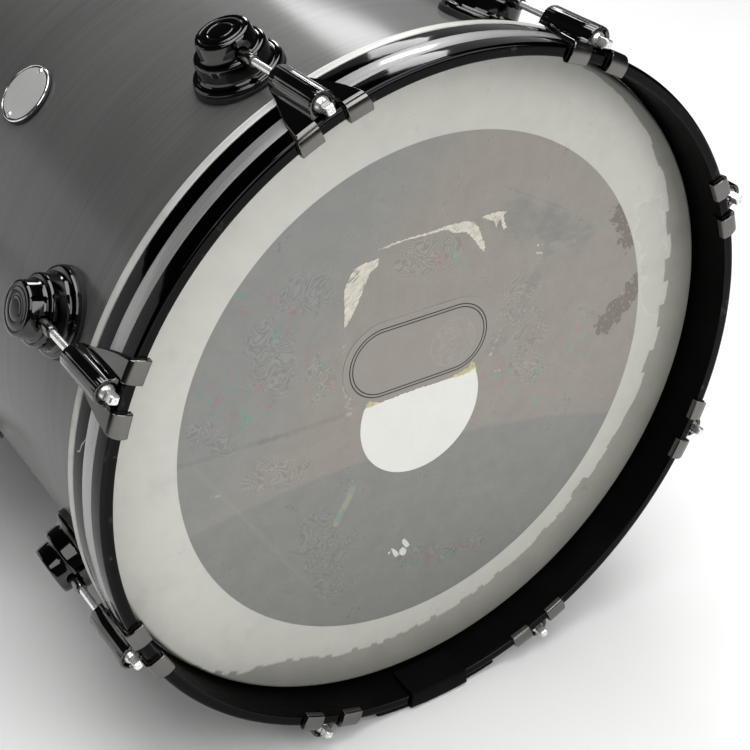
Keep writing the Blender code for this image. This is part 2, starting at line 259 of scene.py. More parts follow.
def hoop_inside():
    n = Nodes("hoop_inside_black")
    co = n.coord()
    grain = n.noise(n.scaled(co, (60, 700, 60)), 1.0, 4.0, 0.6)
    haze = n.noise(co, 22.0, 4.0, 0.6)
    specks = n.cells(co, 700.0).outputs["Distance"]
    dust = n.m('MULTIPLY', n.step(specks, 0.16, 0.05), n.step(haze, 0.50, 0.62))
    col = n.mix(n.step(haze, 0.45, 0.75), (0.0006, 0.0006, 0.0006), (0.0024, 0.0024, 0.0023))
    col = n.mix(n.m('MULTIPLY', dust, 0.06), col, (0.20, 0.20, 0.19))
    n.set("Base Color", col)
    n.set("Roughness", n.span(grain, 0.3, 0.7, 0.50, 0.68))
    n.set("Specular IOR Level", 0.06)
    n.set("Normal", n.bump(grain, 0.12, 0.0005))
    return n.mat


def inlay_silver():
    n = Nodes("hoop_inlay", Metallic=0.45)
    co = n.coord()
    grain = n.noise(n.scaled(co, (9, 1100, 9)), 1.0, 4.0, 0.6)
    fleck = n.noise(co, 900.0, 2.0, 0.6)
    wave = n.noise(co, 14.0, 2.0, 0.5)
    v = n.m('ADD', n.m('MULTIPLY', grain, 0.6), n.m('MULTIPLY', fleck, 0.4))
    col = n.mix(n.step(v, 0.35, 0.65), (0.24, 0.24, 0.236), (0.32, 0.32, 0.313))
    n.set("Base Color", n.gain(col, n.span(wave, 0.3, 0.7, 0.92, 1.06)))
    n.set("Roughness", n.span(grain, 0.3, 0.7, 0.36, 0.48))
    n.set("Coat Weight", 0.5)
    n.set("Coat Roughness", 0.08)
    n.set("Normal", n.bump(grain, 0.03, 0.0003))
    return n.mat


def flesh_alloy():
    n = Nodes("flesh_hoop_alloy", Metallic=0.25)
    co = n.coord()
    brush = n.noise(n.scaled(co, (8, 1400, 8)), 1.0, 3.0, 0.6)
    stain = n.noise(co, 28.0, 4.0, 0.6)
    col = n.mix(n.step(stain, 0.40, 0.72), (0.52, 0.53, 0.50), (0.40, 0.40, 0.365))
    n.set("Base Color", n.gain(col, n.span(brush, 0.3, 0.7, 0.93, 1.05)))
    n.set("Roughness", n.span(brush, 0.25, 0.75, 0.38, 0.55))
    n.set("Normal", n.bump(brush, 0.10, 0.0003))
    return n.mat


def black_nickel(name="black_nickel", colour=(0.092, 0.090, 0.087), rough=(0.035, 0.10)):
    n = Nodes(name, Metallic=1.0)
    co = n.coord()
    smear = n.noise(co, 75.0, 4.0, 0.6, 0.6)
    hair = n.noise(n.scaled(co, (180, 1500, 1500)), 1.0, 2.0, 0.5)
    tone = n.noise(co, 30.0, 2.0, 0.5)
    specks = n.cells(co, 900.0).outputs["Distance"]
    pit = n.m('MULTIPLY', n.step(specks, 0.13, 0.05), n.step(smear, 0.58, 0.68))
    col = n.mix(n.span(tone, 0.3, 0.7), tuple(c * 0.90 for c in colour), tuple(c * 1.12 for c in colour))
    n.set("Base Color", n.mix(n.m('MULTIPLY', pit, 0.4), col, (0.30, 0.29, 0.27)))
    r = n.span(n.m('ADD', n.m('MULTIPLY', smear, 0.7), n.m('MULTIPLY', hair, 0.3)), 0.36, 0.66, *rough)
    n.set("Roughness", n.m('ADD', r, n.m('MULTIPLY', pit, 0.25)))
    n.set("Normal", n.bump(tone, 0.03, 0.0006))
    return n.mat


def rod_chrome():
    n = Nodes("rod_chrome", Metallic=0.82)
    co = n.coord()
    smear = n.noise(co, 160.0, 3.0, 0.6, 0.5)
    col = n.mix(n.step(smear, 0.55, 0.75), (0.87, 0.87, 0.86), (0.79, 0.78, 0.76))
    n.set("Base Color", col)
    n.set("Roughness", n.span(smear, 0.3, 0.75, 0.22, 0.34))
    n.set("Normal", n.bump(smear, 0.03, 0.0002))
    return n.mat


def rubber(name="black_rubber", colour=(0.010, 0.010, 0.0105), dusty=0.5, sheen=0.35):
    n = Nodes(name)
    co = n.coord()
    fine = n.noise(co, 1400.0, 3.0, 0.6)
    worn = n.noise(co, 45.0, 4.0, 0.6)
    col = n.mix(n.m('MULTIPLY', n.step(worn, 0.48, 0.75), dusty), colour, (0.045, 0.044, 0.042))
    n.set("Base Color", col)
    n.set("Roughness", n.span(worn, 0.3, 0.7, 0.50, 0.72))
    n.set("Specular IOR Level", sheen)
    n.set("Normal", n.bump(fine, 0.15, 0.0002))
    return n.mat


def film(name, used):
    """Frosted head: grey middle with painted reflections of the room, pale underlay ring, and a dull edge over the
    shell, darkened towards the hoop wall with painted shade.
    """
    n = Nodes(name, IOR=1.5)
    co = n.coord()
    x, _, z = n.split(co)
    flat = n.node('ShaderNodeCombineXYZ', (x, 0.0, z)).outputs[0]
    r = n.m('SQRT', n.m('ADD', n.m('MULTIPLY', x, x), n.m('MULTIPLY', z, z)))
    ang = n.m('ARCTAN2', x, z)
    cloud = n.noise(flat, 11.0, 3.0, 0.55)
    mottle = n.noise(flat, 60.0, 4.0, 0.6, 0.4)
    fine = n.noise(flat, 420.0, 3.0, 0.6)

    brown, grey_reflection, low = FILM_BROWN, FILM_GREY_REFLECTION, FILM_LOW_REFLECTION
    # painted reflections of the room: greyer towards the upper left, and below a soft curved line; the middle also
    # darkens towards the bottom
    tilt = n.m('ADD', n.m('MULTIPLY', x, -0.62), n.m('MULTIPLY', z, 0.42))
    tilt = n.m('ADD', tilt, n.m('MULTIPLY', n.m('SUBTRACT', cloud, 0.5), 0.08))
    centre = n.mix(n.step(tilt, 0.050, 0.115), brown, grey_reflection)
    u = n.m('ADD', x, 0.07)
    line = n.m('ADD', n.m('MULTIPLY', n.m('MULTIPLY', u, u), -0.67), -0.038)
    below = n.m('SUBTRACT', n.m('ADD', line, n.m('MULTIPLY', n.m('SUBTRACT', mottle, 0.5), 0.008)), z)
    centre = n.mix(n.step(below, -0.002, 0.003), centre, low)
    centre = n.gain(centre, n.span(z, -0.20, -0.04, 0.80, 1.0))
    centre = n.gain(centre, n.span(mottle, 0.25, 0.75, 0.93, 1.07))
    centre = n.gain(centre, n.span(fine, 0.25, 0.75, 0.965, 1.035))

    # fringes where two films touch: contour lines of the gap, in clusters, a few with colour
    gap = n.noise(flat, 56.0, 2.0, 0.45, 0.7)
    phase = n.m('MULTIPLY', gap, 92.0)
    lump = n.noise(flat, 58.0, 4.0, 0.65)
    if used:
        where = n.m('ADD', n.near(x, z, FRINGED), n.m('MULTIPLY', n.m('SUBTRACT', lump, 0.5), 3.4))
        where = n.step(where, 0.26, 0.82)
        stray = n.m('MULTIPLY', n.step(lump, 0.55, 0.64), n.step(n.noise(flat, 11.0, 2.0, 0.5), 0.48, 0.60))
        where = n.m('MAXIMUM', where, n.m('MULTIPLY', stray, 0.55))
    else:
        where = n.m('MULTIPLY', n.step(lump, 0.50, 0.60), n.step(n.noise(flat, 9.0, 2.0, 0.5), 0.45, 0.56))
    wave = n.m('SINE', phase)
    amount = n.m('MULTIPLY', where, 0.140 if used else 0.05)
    centre = n.gain(centre, n.m('ADD', n.m('MULTIPLY', wave, amount), n.m('ADD', 1.0, n.m('MULTIPLY', where, -0.012))))
    if used:
        one = n.noise(n.scaled(flat, (1, 1, 1.3)), 84.0, 1.0, 0.5)
        two = n.noise(n.scaled(flat, (1, 1, 1.3), (0.7, 0, 0.4)), 84.0, 1.0, 0.5)
        lit = n.near(x, z, COLOURED)
        for v, tint in ((one, (0.66, 1.14, 0.98)), (two, (1.24, 0.82, 0.91))):
            spot = n.m('MULTIPLY', n.step(v, 0.585, 0.655), lit)
            rim = n.m('ADD', 1.0, n.m('MULTIPLY', n.m('SINE', n.m('MULTIPLY', v, 90.0)), 0.08))
            tinted = n.gain(n.mix(1.0, centre, tint, 'MULTIPLY'), rim)
            centre = n.mix(n.m('MULTIPLY', spot, 0.66), centre, tinted)
        d = n.near(x, z, (((-0.0635, -0.0600), (-0.0665, -0.0670), 0.0042), ((-0.0665, -0.0670), (-0.0775, -0.0860), 0.0042)))
        streak = n.mix(n.step(n.noise(flat, 130.0, 1.0), 0.42, 0.58), (0.40, 0.36, 0.24), (0.22, 0.34, 0.30))
        centre = n.mix(n.m('MULTIPLY', d, 0.62), centre, streak)

    if used:
        # dark flakes of glue by the ring, at the right
        rag = n.noise(flat, 150.0, 3.0, 0.6)
        for a, b, w in (((0.197, 0.032), (0.168, 0.006), 0.0125), ((0.171, 0.103), (0.183, 0.076), 0.0100)):
            d = n.dist_seg(x, z, a, b)
            d = n.m('ADD', d, n.m('MULTIPLY', n.m('SUBTRACT', rag, 0.5), 0.030))
            holes = n.step(n.noise(flat, 330.0, 2.0, 0.5), 0.36, 0.40)
            k = n.m('MULTIPLY', n.step(d, w * 0.78, w * 0.70), holes)
            centre = n.mix(n.m('MULTIPLY', k, 0.9), centre, FILM_GLUE)
        # a pale crease, a dark streak and beater smudges
        d = n.dist_seg(x, z, (-0.187, 0.005), (-0.084, -0.160))
        d = n.m('ADD', d, n.m('MULTIPLY', n.m('SUBTRACT', mottle, 0.5), 0.006))
        centre = n.gain(centre, n.m('ADD', n.m('MULTIPLY', n.step(d, 0.0032, 0.0), 0.07), 1.0))
        d = n.dist_seg(x, z, (-0.200, 0.0125), (-0.074, 0.0070))
        d = n.m('ADD', d, n.m('MULTIPLY', n.m('SUBTRACT', mottle, 0.5), 0.006))
        centre = n.gain(centre, n.m('SUBTRACT', 1.0, n.m('MULTIPLY', n.step(d, 0.0034, 0.0005), 0.11)))
        d = n.m('ADD', n.dist_seg(x, z, (-0.138, 0.0100), (-0.118, 0.0082)), n.m('MULTIPLY', n.m('SUBTRACT', mottle, 0.5), 0.008))
        centre = n.gain(centre, n.m('SUBTRACT', 1.0, n.m('MULTIPLY', n.step(d, 0.0030, 0.0010), 0.10)))
        drift = n.m('MULTIPLY', n.m('SUBTRACT', n.noise(flat, 46.0, 5.0, 0.68), 0.5), 0.046)
        torn = n.span(n.noise(n.scaled(flat, (1, 1, 1.6)), 95.0, 4.0, 0.7), 0.36, 0.64, 0.25, 1.15)
        for a, b, w, k in (((0.062, 0.126), (0.112, 0.108), 0.019, 0.62), ((0.100, 0.112), (0.133, 0.090), 0.017, 0.58),
                           ((0.103, 0.088), (0.088, 0.060), 0.009, 0.50), ((0.088, 0.060), (0.061, 0.018), 0.008, 0.46),
                           ((-0.048, -0.052), (-0.010, -0.060), 0.012, 0.10), ((0.030, -0.050), (0.075, -0.066), 0.014, 0.14)):
            d = n.m('ADD', n.dist_seg(x, z, a, b), drift)
            centre = n.mix(n.m('MULTIPLY', n.m('MULTIPLY', n.step(d, w * 0.90, w * 0.35), torn), k), centre, FILM_SMUDGE)
        for a, b, w, k in (((-0.046, -0.079), (-0.004, -0.081), 0.0060, 0.050), ((0.036, -0.105), (0.066, -0.110), 0.0075, 0.060),
                           ((-0.170, -0.020), (-0.090, -0.015), 0.0120, 0.030), ((0.100, 0.092), (0.128, 0.090), 0.0045, 0.10)):
            d = n.m('ADD', n.dist_seg(x, z, a, b), n.m('MULTIPLY', n.m('SUBTRACT', mottle, 0.5), 0.010))
            centre = n.gain(centre, n.m('ADD', 1.0, n.m('MULTIPLY', n.step(d, w, 0.0), k)))
        # hairlines and small white rub marks
        for a, b, k in (((-0.118, -0.094), (-0.078, -0.122), -0.09), ((-0.150, -0.110), (-0.066, -0.172), -0.06),
                        ((0.060, 0.150), (0.118, 0.118), -0.08), ((0.088, 0.012), (0.160, -0.042), 0.05)):
            d = n.m('ADD', n.dist_seg(x, z, a, b), n.m('MULTIPLY', n.m('SUBTRACT', mottle, 0.5), 0.003))
            centre = n.gain(centre, n.m('ADD', 1.0, n.m('MULTIPLY', n.step(d, 0.0012, 0.0002), k)))
        bits = n.step(n.noise(flat, 240.0, 2.0, 0.6), 0.47, 0.62)
        for a, b, w, k in (((-0.0715, 0.064), (-0.0700, 0.034), 0.0018, 0.34), ((-0.0695, 0.030), (-0.0665, 0.008), 0.0042, 0.42),
                           ((0.0640, 0.034), (0.0560, 0.014), 0.0020, 0.60), ((0.0930, 0.0958), (0.0968, 0.0946), 0.0014, 0.95),
                           ((0.0928, 0.0900), (0.0972, 0.0884), 0.0014, 0.95), ((0.0934, 0.0846), (0.0972, 0.0834), 0.0013, 0.95),
                           ((-0.1780, -0.0200), (-0.1700, -0.0230), 0.0016, 0.30), ((0.0620, -0.0010), (0.0665, -0.0016), 0.0013, 0.55)):
            d = n.dist_seg(x, z, a, b)
            centre = n.mix(n.m('MULTIPLY', n.m('MULTIPLY', n.step(d, w, w * 0.3), bits), k), centre, FILM_RUB)
        rub = n.noise(flat, 95.0, 4.0, 0.65, 2.2)
        mid = n.step(n.dist_seg(x, z, (-0.05, 0.02), (0.06, 0.01)), 0.075, 0.02)
        centre = n.mix(n.m('MULTIPLY', n.m('MULTIPLY', n.step(rub, 0.66, 0.74), mid), 0.20), centre, FILM_RUB)

        # grit: pale and dark specks
        for seed, k in ((0.0, 0.085), (3.7, -0.085)):
            grit = n.cells(n.scaled(flat, (1, 1, 1), (seed, 0, seed)), 250.0).outputs["Distance"]
            thick = n.step(n.noise(n.scaled(flat, (1, 1, 1), (seed, 0, 0)), 60.0, 2.0), 0.50, 0.62)
            speck = n.m('MULTIPLY', n.step(grit, 0.17, 0.07), thick)
            centre = n.gain(centre, n.m('ADD', 1.0, n.m('MULTIPLY', speck, k)))

    # underlay ring, and its torn outer edge
    ring = n.gain(FILM_RING, n.span(mottle, 0.3, 0.7, 0.97, 1.03))
    # painted light and shade on the ring: a little darker towards the bottom, brighter towards the left
    ring = n.gain(ring, n.span(z, -0.22, 0.02, 0.95, 1.0))
    ring = n.gain(ring, n.step(n.m('SUBTRACT', x, n.m('MULTIPLY', z, 0.35)), -0.05, -0.20, 1.0, 1.17))
    smear = n.noise(n.scaled(flat, (1, 1, 1), (0.3, 0, 0.1)), 26.0, 3.0, 0.6)
    ring = n.mix(n.m('MULTIPLY', n.step(smear, 0.52, 0.72), 0.30), ring, FILM_STAIN)
    if used:
        # blisters under the film, at the right
        drop = n.m('ADD', n.dist_seg(x, z, (0.200, 0.095), (0.224, 0.010)), n.m('MULTIPLY', n.m('SUBTRACT', n.noise(flat, 46.0, 4.0, 0.62), 0.5), 0.050))
        ring = n.gain(ring, n.m('ADD', 1.0, n.m('MULTIPLY', n.m('SUBTRACT', n.step(drop, 0.0145, 0.0135), n.m('MULTIPLY', n.step(drop, 0.0120, 0.0110), 1.5)), 0.065)))
    edge = n.gain(FILM_EDGE, n.span(n.noise(flat, 34.0, 3.0, 0.6), 0.3, 0.7, 0.93, 1.07))
    # painted shade: the bare film darkens towards the hoop wall
    edge = n.gain(edge, n.span(r, 0.226, 0.258, 1.10, 0.93))
    col = n.mix(n.step(r, 0.2011, 0.2017), centre, ring)
    if used:
        lop = n.m('MULTIPLY', n.m('COSINE', n.m('SUBTRACT', ang, math.radians(-35))), 0.0210)
        teeth = n.node('ShaderNodeTexWhiteNoise', noise_dimensions='1D')
        n.feed(teeth.inputs["W"], n.m('FLOOR', n.m('MULTIPLY', ang, 11.0)))
        toothed = n.m('MULTIPLY', n.step(ang, 0.80, 0.92), n.step(ang, 2.95, 2.70))
        tooth = n.m('MULTIPLY', n.step(teeth.outputs["Value"], 0.56, 0.92, 0.0, 0.0052), toothed)
        nicks = n.node('ShaderNodeTexWhiteNoise', noise_dimensions='1D')
        n.feed(nicks.inputs["W"], n.m('FLOOR', n.m('MULTIPLY', ang, 37.0)))
        nick = n.m('MULTIPLY', n.step(nicks.outputs["Value"], 0.35, 0.95, 0.0, 0.0028), n.step(z, -0.09, -0.13))
        tooth = n.m('ADD', tooth, nick)
        wob = n.m('MULTIPLY', n.m('SUBTRACT', n.noise(flat, 48.0, 2.0), 0.5), 0.006)
        out = n.m('ADD', n.m('SUBTRACT', n.m('ADD', lop, 0.2425), tooth), wob)
        out = n.m('ADD', out, n.step(x, -0.122, -0.180, 0.0, 0.018))
        out = n.m('ADD', out, n.step(n.m('MULTIPLY', x, 1.0), 0.02, 0.12, 0.0, n.step(z, 0.02, 0.14, 0.0, 0.0030)))
    else:
        out = n.m('ADD', n.m('MULTIPLY', n.m('SUBTRACT', n.noise(flat, 48.0, 2.0), 0.5), 0.003), 0.2325)
    past = n.m('SUBTRACT', r, out)
    if used:
        soft = n.step(z, -0.10, -0.20, 0.0006, 0.0013)
        col = n.mix(n.step(n.m('DIVIDE', past, soft), -1.0, 1.0), col, edge)
    else:
        col = n.mix(n.step(past, -0.0006, 0.0006), col, edge)
    n.set("Base Color", col)
    sm = n.noise(flat, 40.0, 4.0, 0.65, 0.8)
    n.set("Roughness", n.span(n.m('ADD', n.m('MULTIPLY', sm, 0.7), n.m('MULTIPLY', fine, 0.3)), 0.3, 0.7, 0.24, 0.46))
    n.set("Specular IOR Level", 0.42)
    dent = n.noise(flat, 24.0, 2.0, 0.5)
    first = n.bump(fine, 0.04, 0.0002)
    n.set("Normal", n.bump(dent, 0.08, 0.004, first))
    return n.mat


def patch_clear():
    """Clear stick-on film: the head shows through, a little glossier."""
    n = Nodes("patch_clear", IOR=1.5)
    co = n.coord()
    x, _, z = n.split(co)
    flat = n.node('ShaderNodeCombineXYZ', (x, 0.0, z)).outputs[0]
    mottle = n.noise(flat, 60.0, 4.0, 0.6, 0.4)
    rub = n.noise(flat, 80.0, 4.0, 0.65, 2.0)
    swirl = n.m('SINE', n.m('MULTIPLY', n.noise(flat, 56.0, 2.0, 0.45, 0.7), 92.0))
    col = n.gain(FILM_BROWN, n.span(mottle, 0.25, 0.75, 0.96, 1.05))
    where = n.step(n.noise(flat, 18.0, 2.0), 0.52, 0.64)
    col = n.gain(col, n.m('ADD', n.m('MULTIPLY', swirl, n.m('MULTIPLY', where, 0.030)), 1.0))
    col = n.mix(n.m('MULTIPLY', n.step(rub, 0.66, 0.74), 0.10), col, (0.62, 0.61, 0.56))
    ux, uz = n.m('SUBTRACT', x, 0.021), n.m('SUBTRACT', z, 0.038)
    q = n.m('SQRT', n.m('ADD', n.m('MULTIPLY', ux, ux), n.m('MULTIPLY', uz, uz)))
    q = n.m('ADD', q, n.m('MULTIPLY', n.m('SUBTRACT', mottle, 0.5), 0.005))
    inner = n.m('MULTIPLY', n.step(q, 0.0200, 0.0170), n.span(n.noise(flat, 120.0, 3.0, 0.6), 0.35, 0.65, 0.2, 1.0))
    line = n.step(n.m('ABSOLUTE', n.m('SUBTRACT', q, 0.0192)), 0.0012, 0.0002)
    col = n.gain(col, n.m('ADD', 1.0, n.m('MULTIPLY', swirl, n.m('MULTIPLY', inner, 0.085))))
    col = n.gain(col, n.m('ADD', 1.0, n.m('ADD', n.m('MULTIPLY', inner, 0.055), n.m('MULTIPLY', line, 0.075))))
    n.set("Base Color", col)
    n.set("Roughness", n.span(mottle, 0.3, 0.7, 0.28, 0.42))
    n.set("Normal", n.bump(n.noise(flat, 30.0, 2.0), 0.03, 0.003))
    return n.mat


def tape_rest():
    """Pulled-off tape: pale fibres combed one way, the film showing between them."""
    n = Nodes("tape_rest")
    x, _, z = n.split(n.coord())
    c, t = math.cos(math.radians(32)), math.sin(math.radians(32))
    along = n.m('ADD', n.m('MULTIPLY', x, c), n.m('MULTIPLY', z, t))
    cross = n.m('SUBTRACT', n.m('MULTIPLY', z, c), n.m('MULTIPLY', x, t))
    comb = n.node('ShaderNodeCombineXYZ', (n.m('MULTIPLY', along, 130.0), 0.0, n.m('MULTIPLY', cross, 760.0))).outputs[0]
    fibre = n.noise(comb, 1.0, 3.0, 0.6)
    flat = n.node('ShaderNodeCombineXYZ', (x, 0.0, z)).outputs[0]
    lump = n.noise(flat, 120.0, 3.0, 0.6)
    v = n.m('ADD', n.m('MULTIPLY', fibre, 0.45), n.m('MULTIPLY', lump, 0.55))
    pale = n.mix(n.step(fibre, 0.30, 0.70), tuple(k / K for k in lin(200, 195, 180)), tuple(k / K for k in lin(230, 227, 213)))
    n.set("Base Color", n.mix(n.step(v, 0.36, 0.50), FILM_BROWN, pale))
    n.set("Roughness", n.span(v, 0.3, 0.7, 0.55, 0.75))
    n.set("Normal", n.bump(v, 0.4, 0.0003))
    return n.mat


def plain(name, a, b, scale, rough, bump=0.1, dist=0.0003, metal=0.0, stretch=(1, 1, 1)):
    """Two-tone mottled finish."""
    n = Nodes(name, Metallic=metal)
    co = n.scaled(n.coord(), stretch)
    v = n.noise(co, scale, 4.0, 0.6)
    w = n.noise(co, scale * 7.0, 3.0, 0.6)
    n.set("Base Color", n.mix(n.step(n.m('ADD', n.m('MULTIPLY', v, 0.6), n.m('MULTIPLY', w, 0.4)), 0.35, 0.65), a, b))
    n.set("Roughness", n.span(v, 0.3, 0.7, *rough))
    n.set("Normal", n.bump(w, bump, dist))
    return n.mat


K = 1.08                    # light on the head: radiance of a white surface there
FILM_BROWN = tuple(c / K for c in lin(151, 146, 138))
# the grey and low film tones below are painted reflections of the room, not the film's own colour
FILM_GREY_REFLECTION = tuple(c / K for c in lin(142, 142, 139))
FILM_LOW_REFLECTION = tuple(c / K for c in lin(137, 137, 133))
FILM_GLUE = tuple(c / K for c in lin(118, 110, 101))
FILM_RING = tuple(c / K for c in lin(200, 199, 191))
FILM_STAIN = tuple(c / K for c in lin(184, 182, 171))
FILM_EDGE = tuple(c / K for c in lin(147, 146, 138))
FILM_SMUDGE = tuple(c / K for c in lin(128, 128, 125))
FILM_RUB = tuple(c / K for c in lin(206, 204, 194))
# where the film's two layers touch (from, to, width in the film's plane)
FRINGED = (((-0.132, 0.086), (-0.126, 0.058), 0.026), ((-0.108, 0.114), (-0.092, 0.112), 0.020), ((-0.184, 0.034), (-0.166, 0.020), 0.015),
           ((-0.018, 0.116), (0.012, 0.114), 0.020), ((-0.094, -0.082), (-0.082, -0.142), 0.024), ((-0.012, -0.146), (0.008, -0.149), 0.017),
           ((0.018, -0.157), (0.058, -0.160), 0.010), ((0.076, 0.062), (0.094, 0.020), 0.021), ((0.086, 0.002), (0.098, -0.014), 0.018),
           ((-0.142, -0.018), (-0.112, -0.026), 0.018), ((-0.094, 0.056), (-0.086, 0.038), 0.014), ((-0.070, -0.044), (-0.066, -0.056), 0.008))
COLOURED = (((-0.144, 0.120), (-0.118, 0.098), 0.020), ((-0.172, 0.060), (-0.138, 0.036), 0.028), ((-0.094, 0.064), (-0.088, 0.038), 0.018),
            ((0.058, 0.004), (0.084, -0.012), 0.020), ((0.102, -0.016), (0.112, -0.046), 0.016), ((0.008, 0.104), (0.030, 0.098), 0.016),
            ((0.147, 0.018), (0.138, -0.010), 0.013), ((-0.010, -0.152), (0.060, -0.162), 0.014), ((0.026, -0.129), (0.031, -0.134), 0.010),
            ((0.145, 0.104), (0.150, 0.098), 0.010))
PATCH_WHITE = tuple(min(0.93, c / K) for c in lin(238, 238, 232))

LACQUER = shell_lacquer()
PLIES = shell_wood()
SCRATCH = [(-0.3754, 0.0366), (-0.3742, 0.0339), (-0.3675, 0.0316), (-0.3634, 0.0283), (-0.3600, 0.0270)]
GLOSS = hoop_gloss("hoop_gloss_black", True, 0.015)
GLOSS_FRONT = hoop_gloss("hoop_gloss_front", False, 0.015)
# the hoop's front face takes a darker copy of the lacquer with a weaker edge: painted shade, so it mirrors less of the
# bright floor
FACE_SHADED = hoop_gloss("hoop_face_shaded_black", True, 0.011, 0.62)
FACE_FRONT_SHADED = hoop_gloss("hoop_face_front_shaded", False, 0.011, 0.62)
INSIDE = hoop_inside()
INLAY = inlay_silver()
FLESH = flesh_alloy()
NICKEL = black_nickel()
# lug turrets take a darker copy of the black nickel: painted shade, for the dark surroundings they mirror
TURRET_SHADED = black_nickel("black_nickel_turret_shaded", (0.058, 0.057, 0.056), (0.03, 0.09))
# claw hook fronts take a lighter, rougher copy of the black nickel: the lighter colour is painted light for the bright
# floor they mirror
SATIN_LIT = black_nickel("black_nickel_satin_lit", (0.152, 0.145, 0.136), (0.12, 0.22))
CHROME = rod_chrome()
RUBBER = rubber()
LINER = rubber("claw_liner", (0.006, 0.006, 0.006), 0.2)
GUARD = rubber("guard_rubber_black", (0.0012, 0.0012, 0.0013), 0.03, 0.06)
FILM_USED = film("head_film", True)
FILM_NEW = film("head_film_front", False)
CLEAR = patch_clear()
INK = plain("patch_outline", (0.006, 0.006, 0.006), (0.016, 0.016, 0.015), 300.0, (0.4, 0.55))
WHITE = plain("patch_white", PATCH_WHITE, tuple(c * 0.965 for c in PATCH_WHITE), 40.0, (0.38, 0.52), 0.06)
TORN = plain("patch_torn", (0.66, 0.62, 0.36), (0.42, 0.38, 0.20), 260.0, (0.6, 0.8), 0.5, 0.0004)
TAPE = tape_rest()
FLECK = plain("tape_fleck", (0.72, 0.71, 0.66), (0.60, 0.59, 0.54), 200.0, (0.55, 0.8), 0.4, 0.0003)
PLATE = plain("badge_plate", (0.40, 0.40, 0.395), (0.47, 0.47, 0.46), 60.0, (0.34, 0.46), 0.05, 0.0002, 0.25, (1, 24, 1))
RIM = plain("badge_rim", (0.66, 0.66, 0.65), (0.80, 0.80, 0.79), 120.0, (0.12, 0.22), 0.03, 0.0002, 1.0)
STEEL = plain("screw_steel", (0.14, 0.135, 0.13), (0.20, 0.195, 0.19), 120.0, (0.12, 0.22), 0.03, 0.0002, 1.0)


# ------------------------------------------------------------------ mesh helpers
def put(name, mesh, matrix, body, slot, *nodes):
    o = bpy.data.objects.new(name, mesh)
    bpy.context.scene.collection.objects.link(o)
    o.matrix_world = matrix
    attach(o, body)
    if nodes:
        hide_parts(*nodes)
    return o


def to_mesh(bm, name, mats, sharp=32.0):
    bmesh.ops.recalc_face_normals(bm, faces=bm.faces)
    me = bpy.data.meshes.new(name)
    bm.to_mesh(me)
    bm.free()
    for m in mats:
        me.materials.append(m)
    me.shade_smooth()
    me.set_sharp_from_angle(angle=math.radians(sharp))
    return me


def fillet(pts, radii, n=4, closed=True):
    """Round the corners of a polygon. radii is one number or one for each point."""
    if not hasattr(radii, "__len__"):
        radii = [radii] * len(pts)
    out = []
    m = len(pts)
    for i, (p, r) in enumerate(zip(pts, radii)):
        p = Vector(p)
        if r <= 0 or (not closed and i in (0, m - 1)):
            out.append(tuple(p))
            continue
        a, b = Vector(pts[i - 1]) - p, Vector(pts[(i + 1) % m]) - p
        la, lb = a.length, b.length
        a.normalize()
        b.normalize()
        half = a.angle(b) / 2
        if half > math.radians(88):
            out.append(tuple(p))
            continue
        cut = min(r / math.tan(half), la * 0.48, lb * 0.48)
        s, e = p + a * cut, p + b * cut
        for k in range(n + 1):
            t = k / n
            q = s.lerp(p, t).lerp(p.lerp(e, t), t)
            out.append(tuple(q))
    return out


def skin(bm, rings, wrap=True, closed=False, mat=0):
    """Quads between rows of points; returns the rows of vertices."""
    vs = [[bm.verts.new(p) for p in ring] for ring in rings]
    pairs = list(zip(vs, vs[1:] + vs[:1])) if closed else list(zip(vs, vs[1:]))
    for a, b in pairs:
        n = max(len(a), len(b))
        for i in range(n if wrap else n - 1):
            j = (i + 1) % n
            if len(a) == 1:
                f = bm.faces.new((a[0], b[j], b[i]))
            elif len(b) == 1:
                f = bm.faces.new((a[i], a[j], b[0]))
            else:
                f = bm.faces.new((a[i], a[j], b[j], b[i]))
            f.material_index = mat
    return vs


def cap(bm, ring, mat=0):
    f = bm.faces.new(ring)
    f.material_index = mat
    return f


def lathe(profile, name, mats, seg=240, pick=None, closed=True, sharp=32.0):
    """Turn a (radius, depth) profile round the drum's axis."""
    bm = bmesh.new()
    rings = []
    for r, d in profile:
        if r < 1e-7:
            rings.append([(0.0, d, 0.0)])
        else:
            rings.append([(r * math.sin(TAU * k / seg), d, r * math.cos(TAU * k / seg)) for k in range(seg)])
    skin(bm, rings, True, closed)
    if pick:
        for f in bm.faces:
            c = f.calc_center_median()
            f.material_index = pick(math.hypot(c.x, c.z), c.y)
    return to_mesh(bm, name, mats, sharp)


def frame_at(side, angle=0.0):
    """x round the hoop, y into the drum from the hoop's front, z out from the drum's axis."""
    m = Matrix.Translation((0, side * HALF_L, AXIS_Z)) @ Matrix.Rotation(math.radians(angle), 4, 'Y')
    return m @ Matrix.Rotation(math.pi, 4, 'Z') if side > 0 else m


def boolean(a, b, how):
    """Exact Boolean of two meshes, as a new mesh."""
    oa, ob = bpy.data.objects.new("tmp_a", a), bpy.data.objects.new("tmp_b", b)
    for o in (oa, ob):
        bpy.context.scene.collection.objects.link(o)
    mod = oa.modifiers.new("cut", 'BOOLEAN')
    mod.operation, mod.solver, mod.object = how, 'EXACT', ob
    dg = bpy.context.evaluated_depsgraph_get()
    dg.update()
    me = bpy.data.meshes.new_from_object(oa.evaluated_get(dg))
    for o in (oa, ob):
        bpy.data.objects.remove(o, do_unlink=True)
    return me


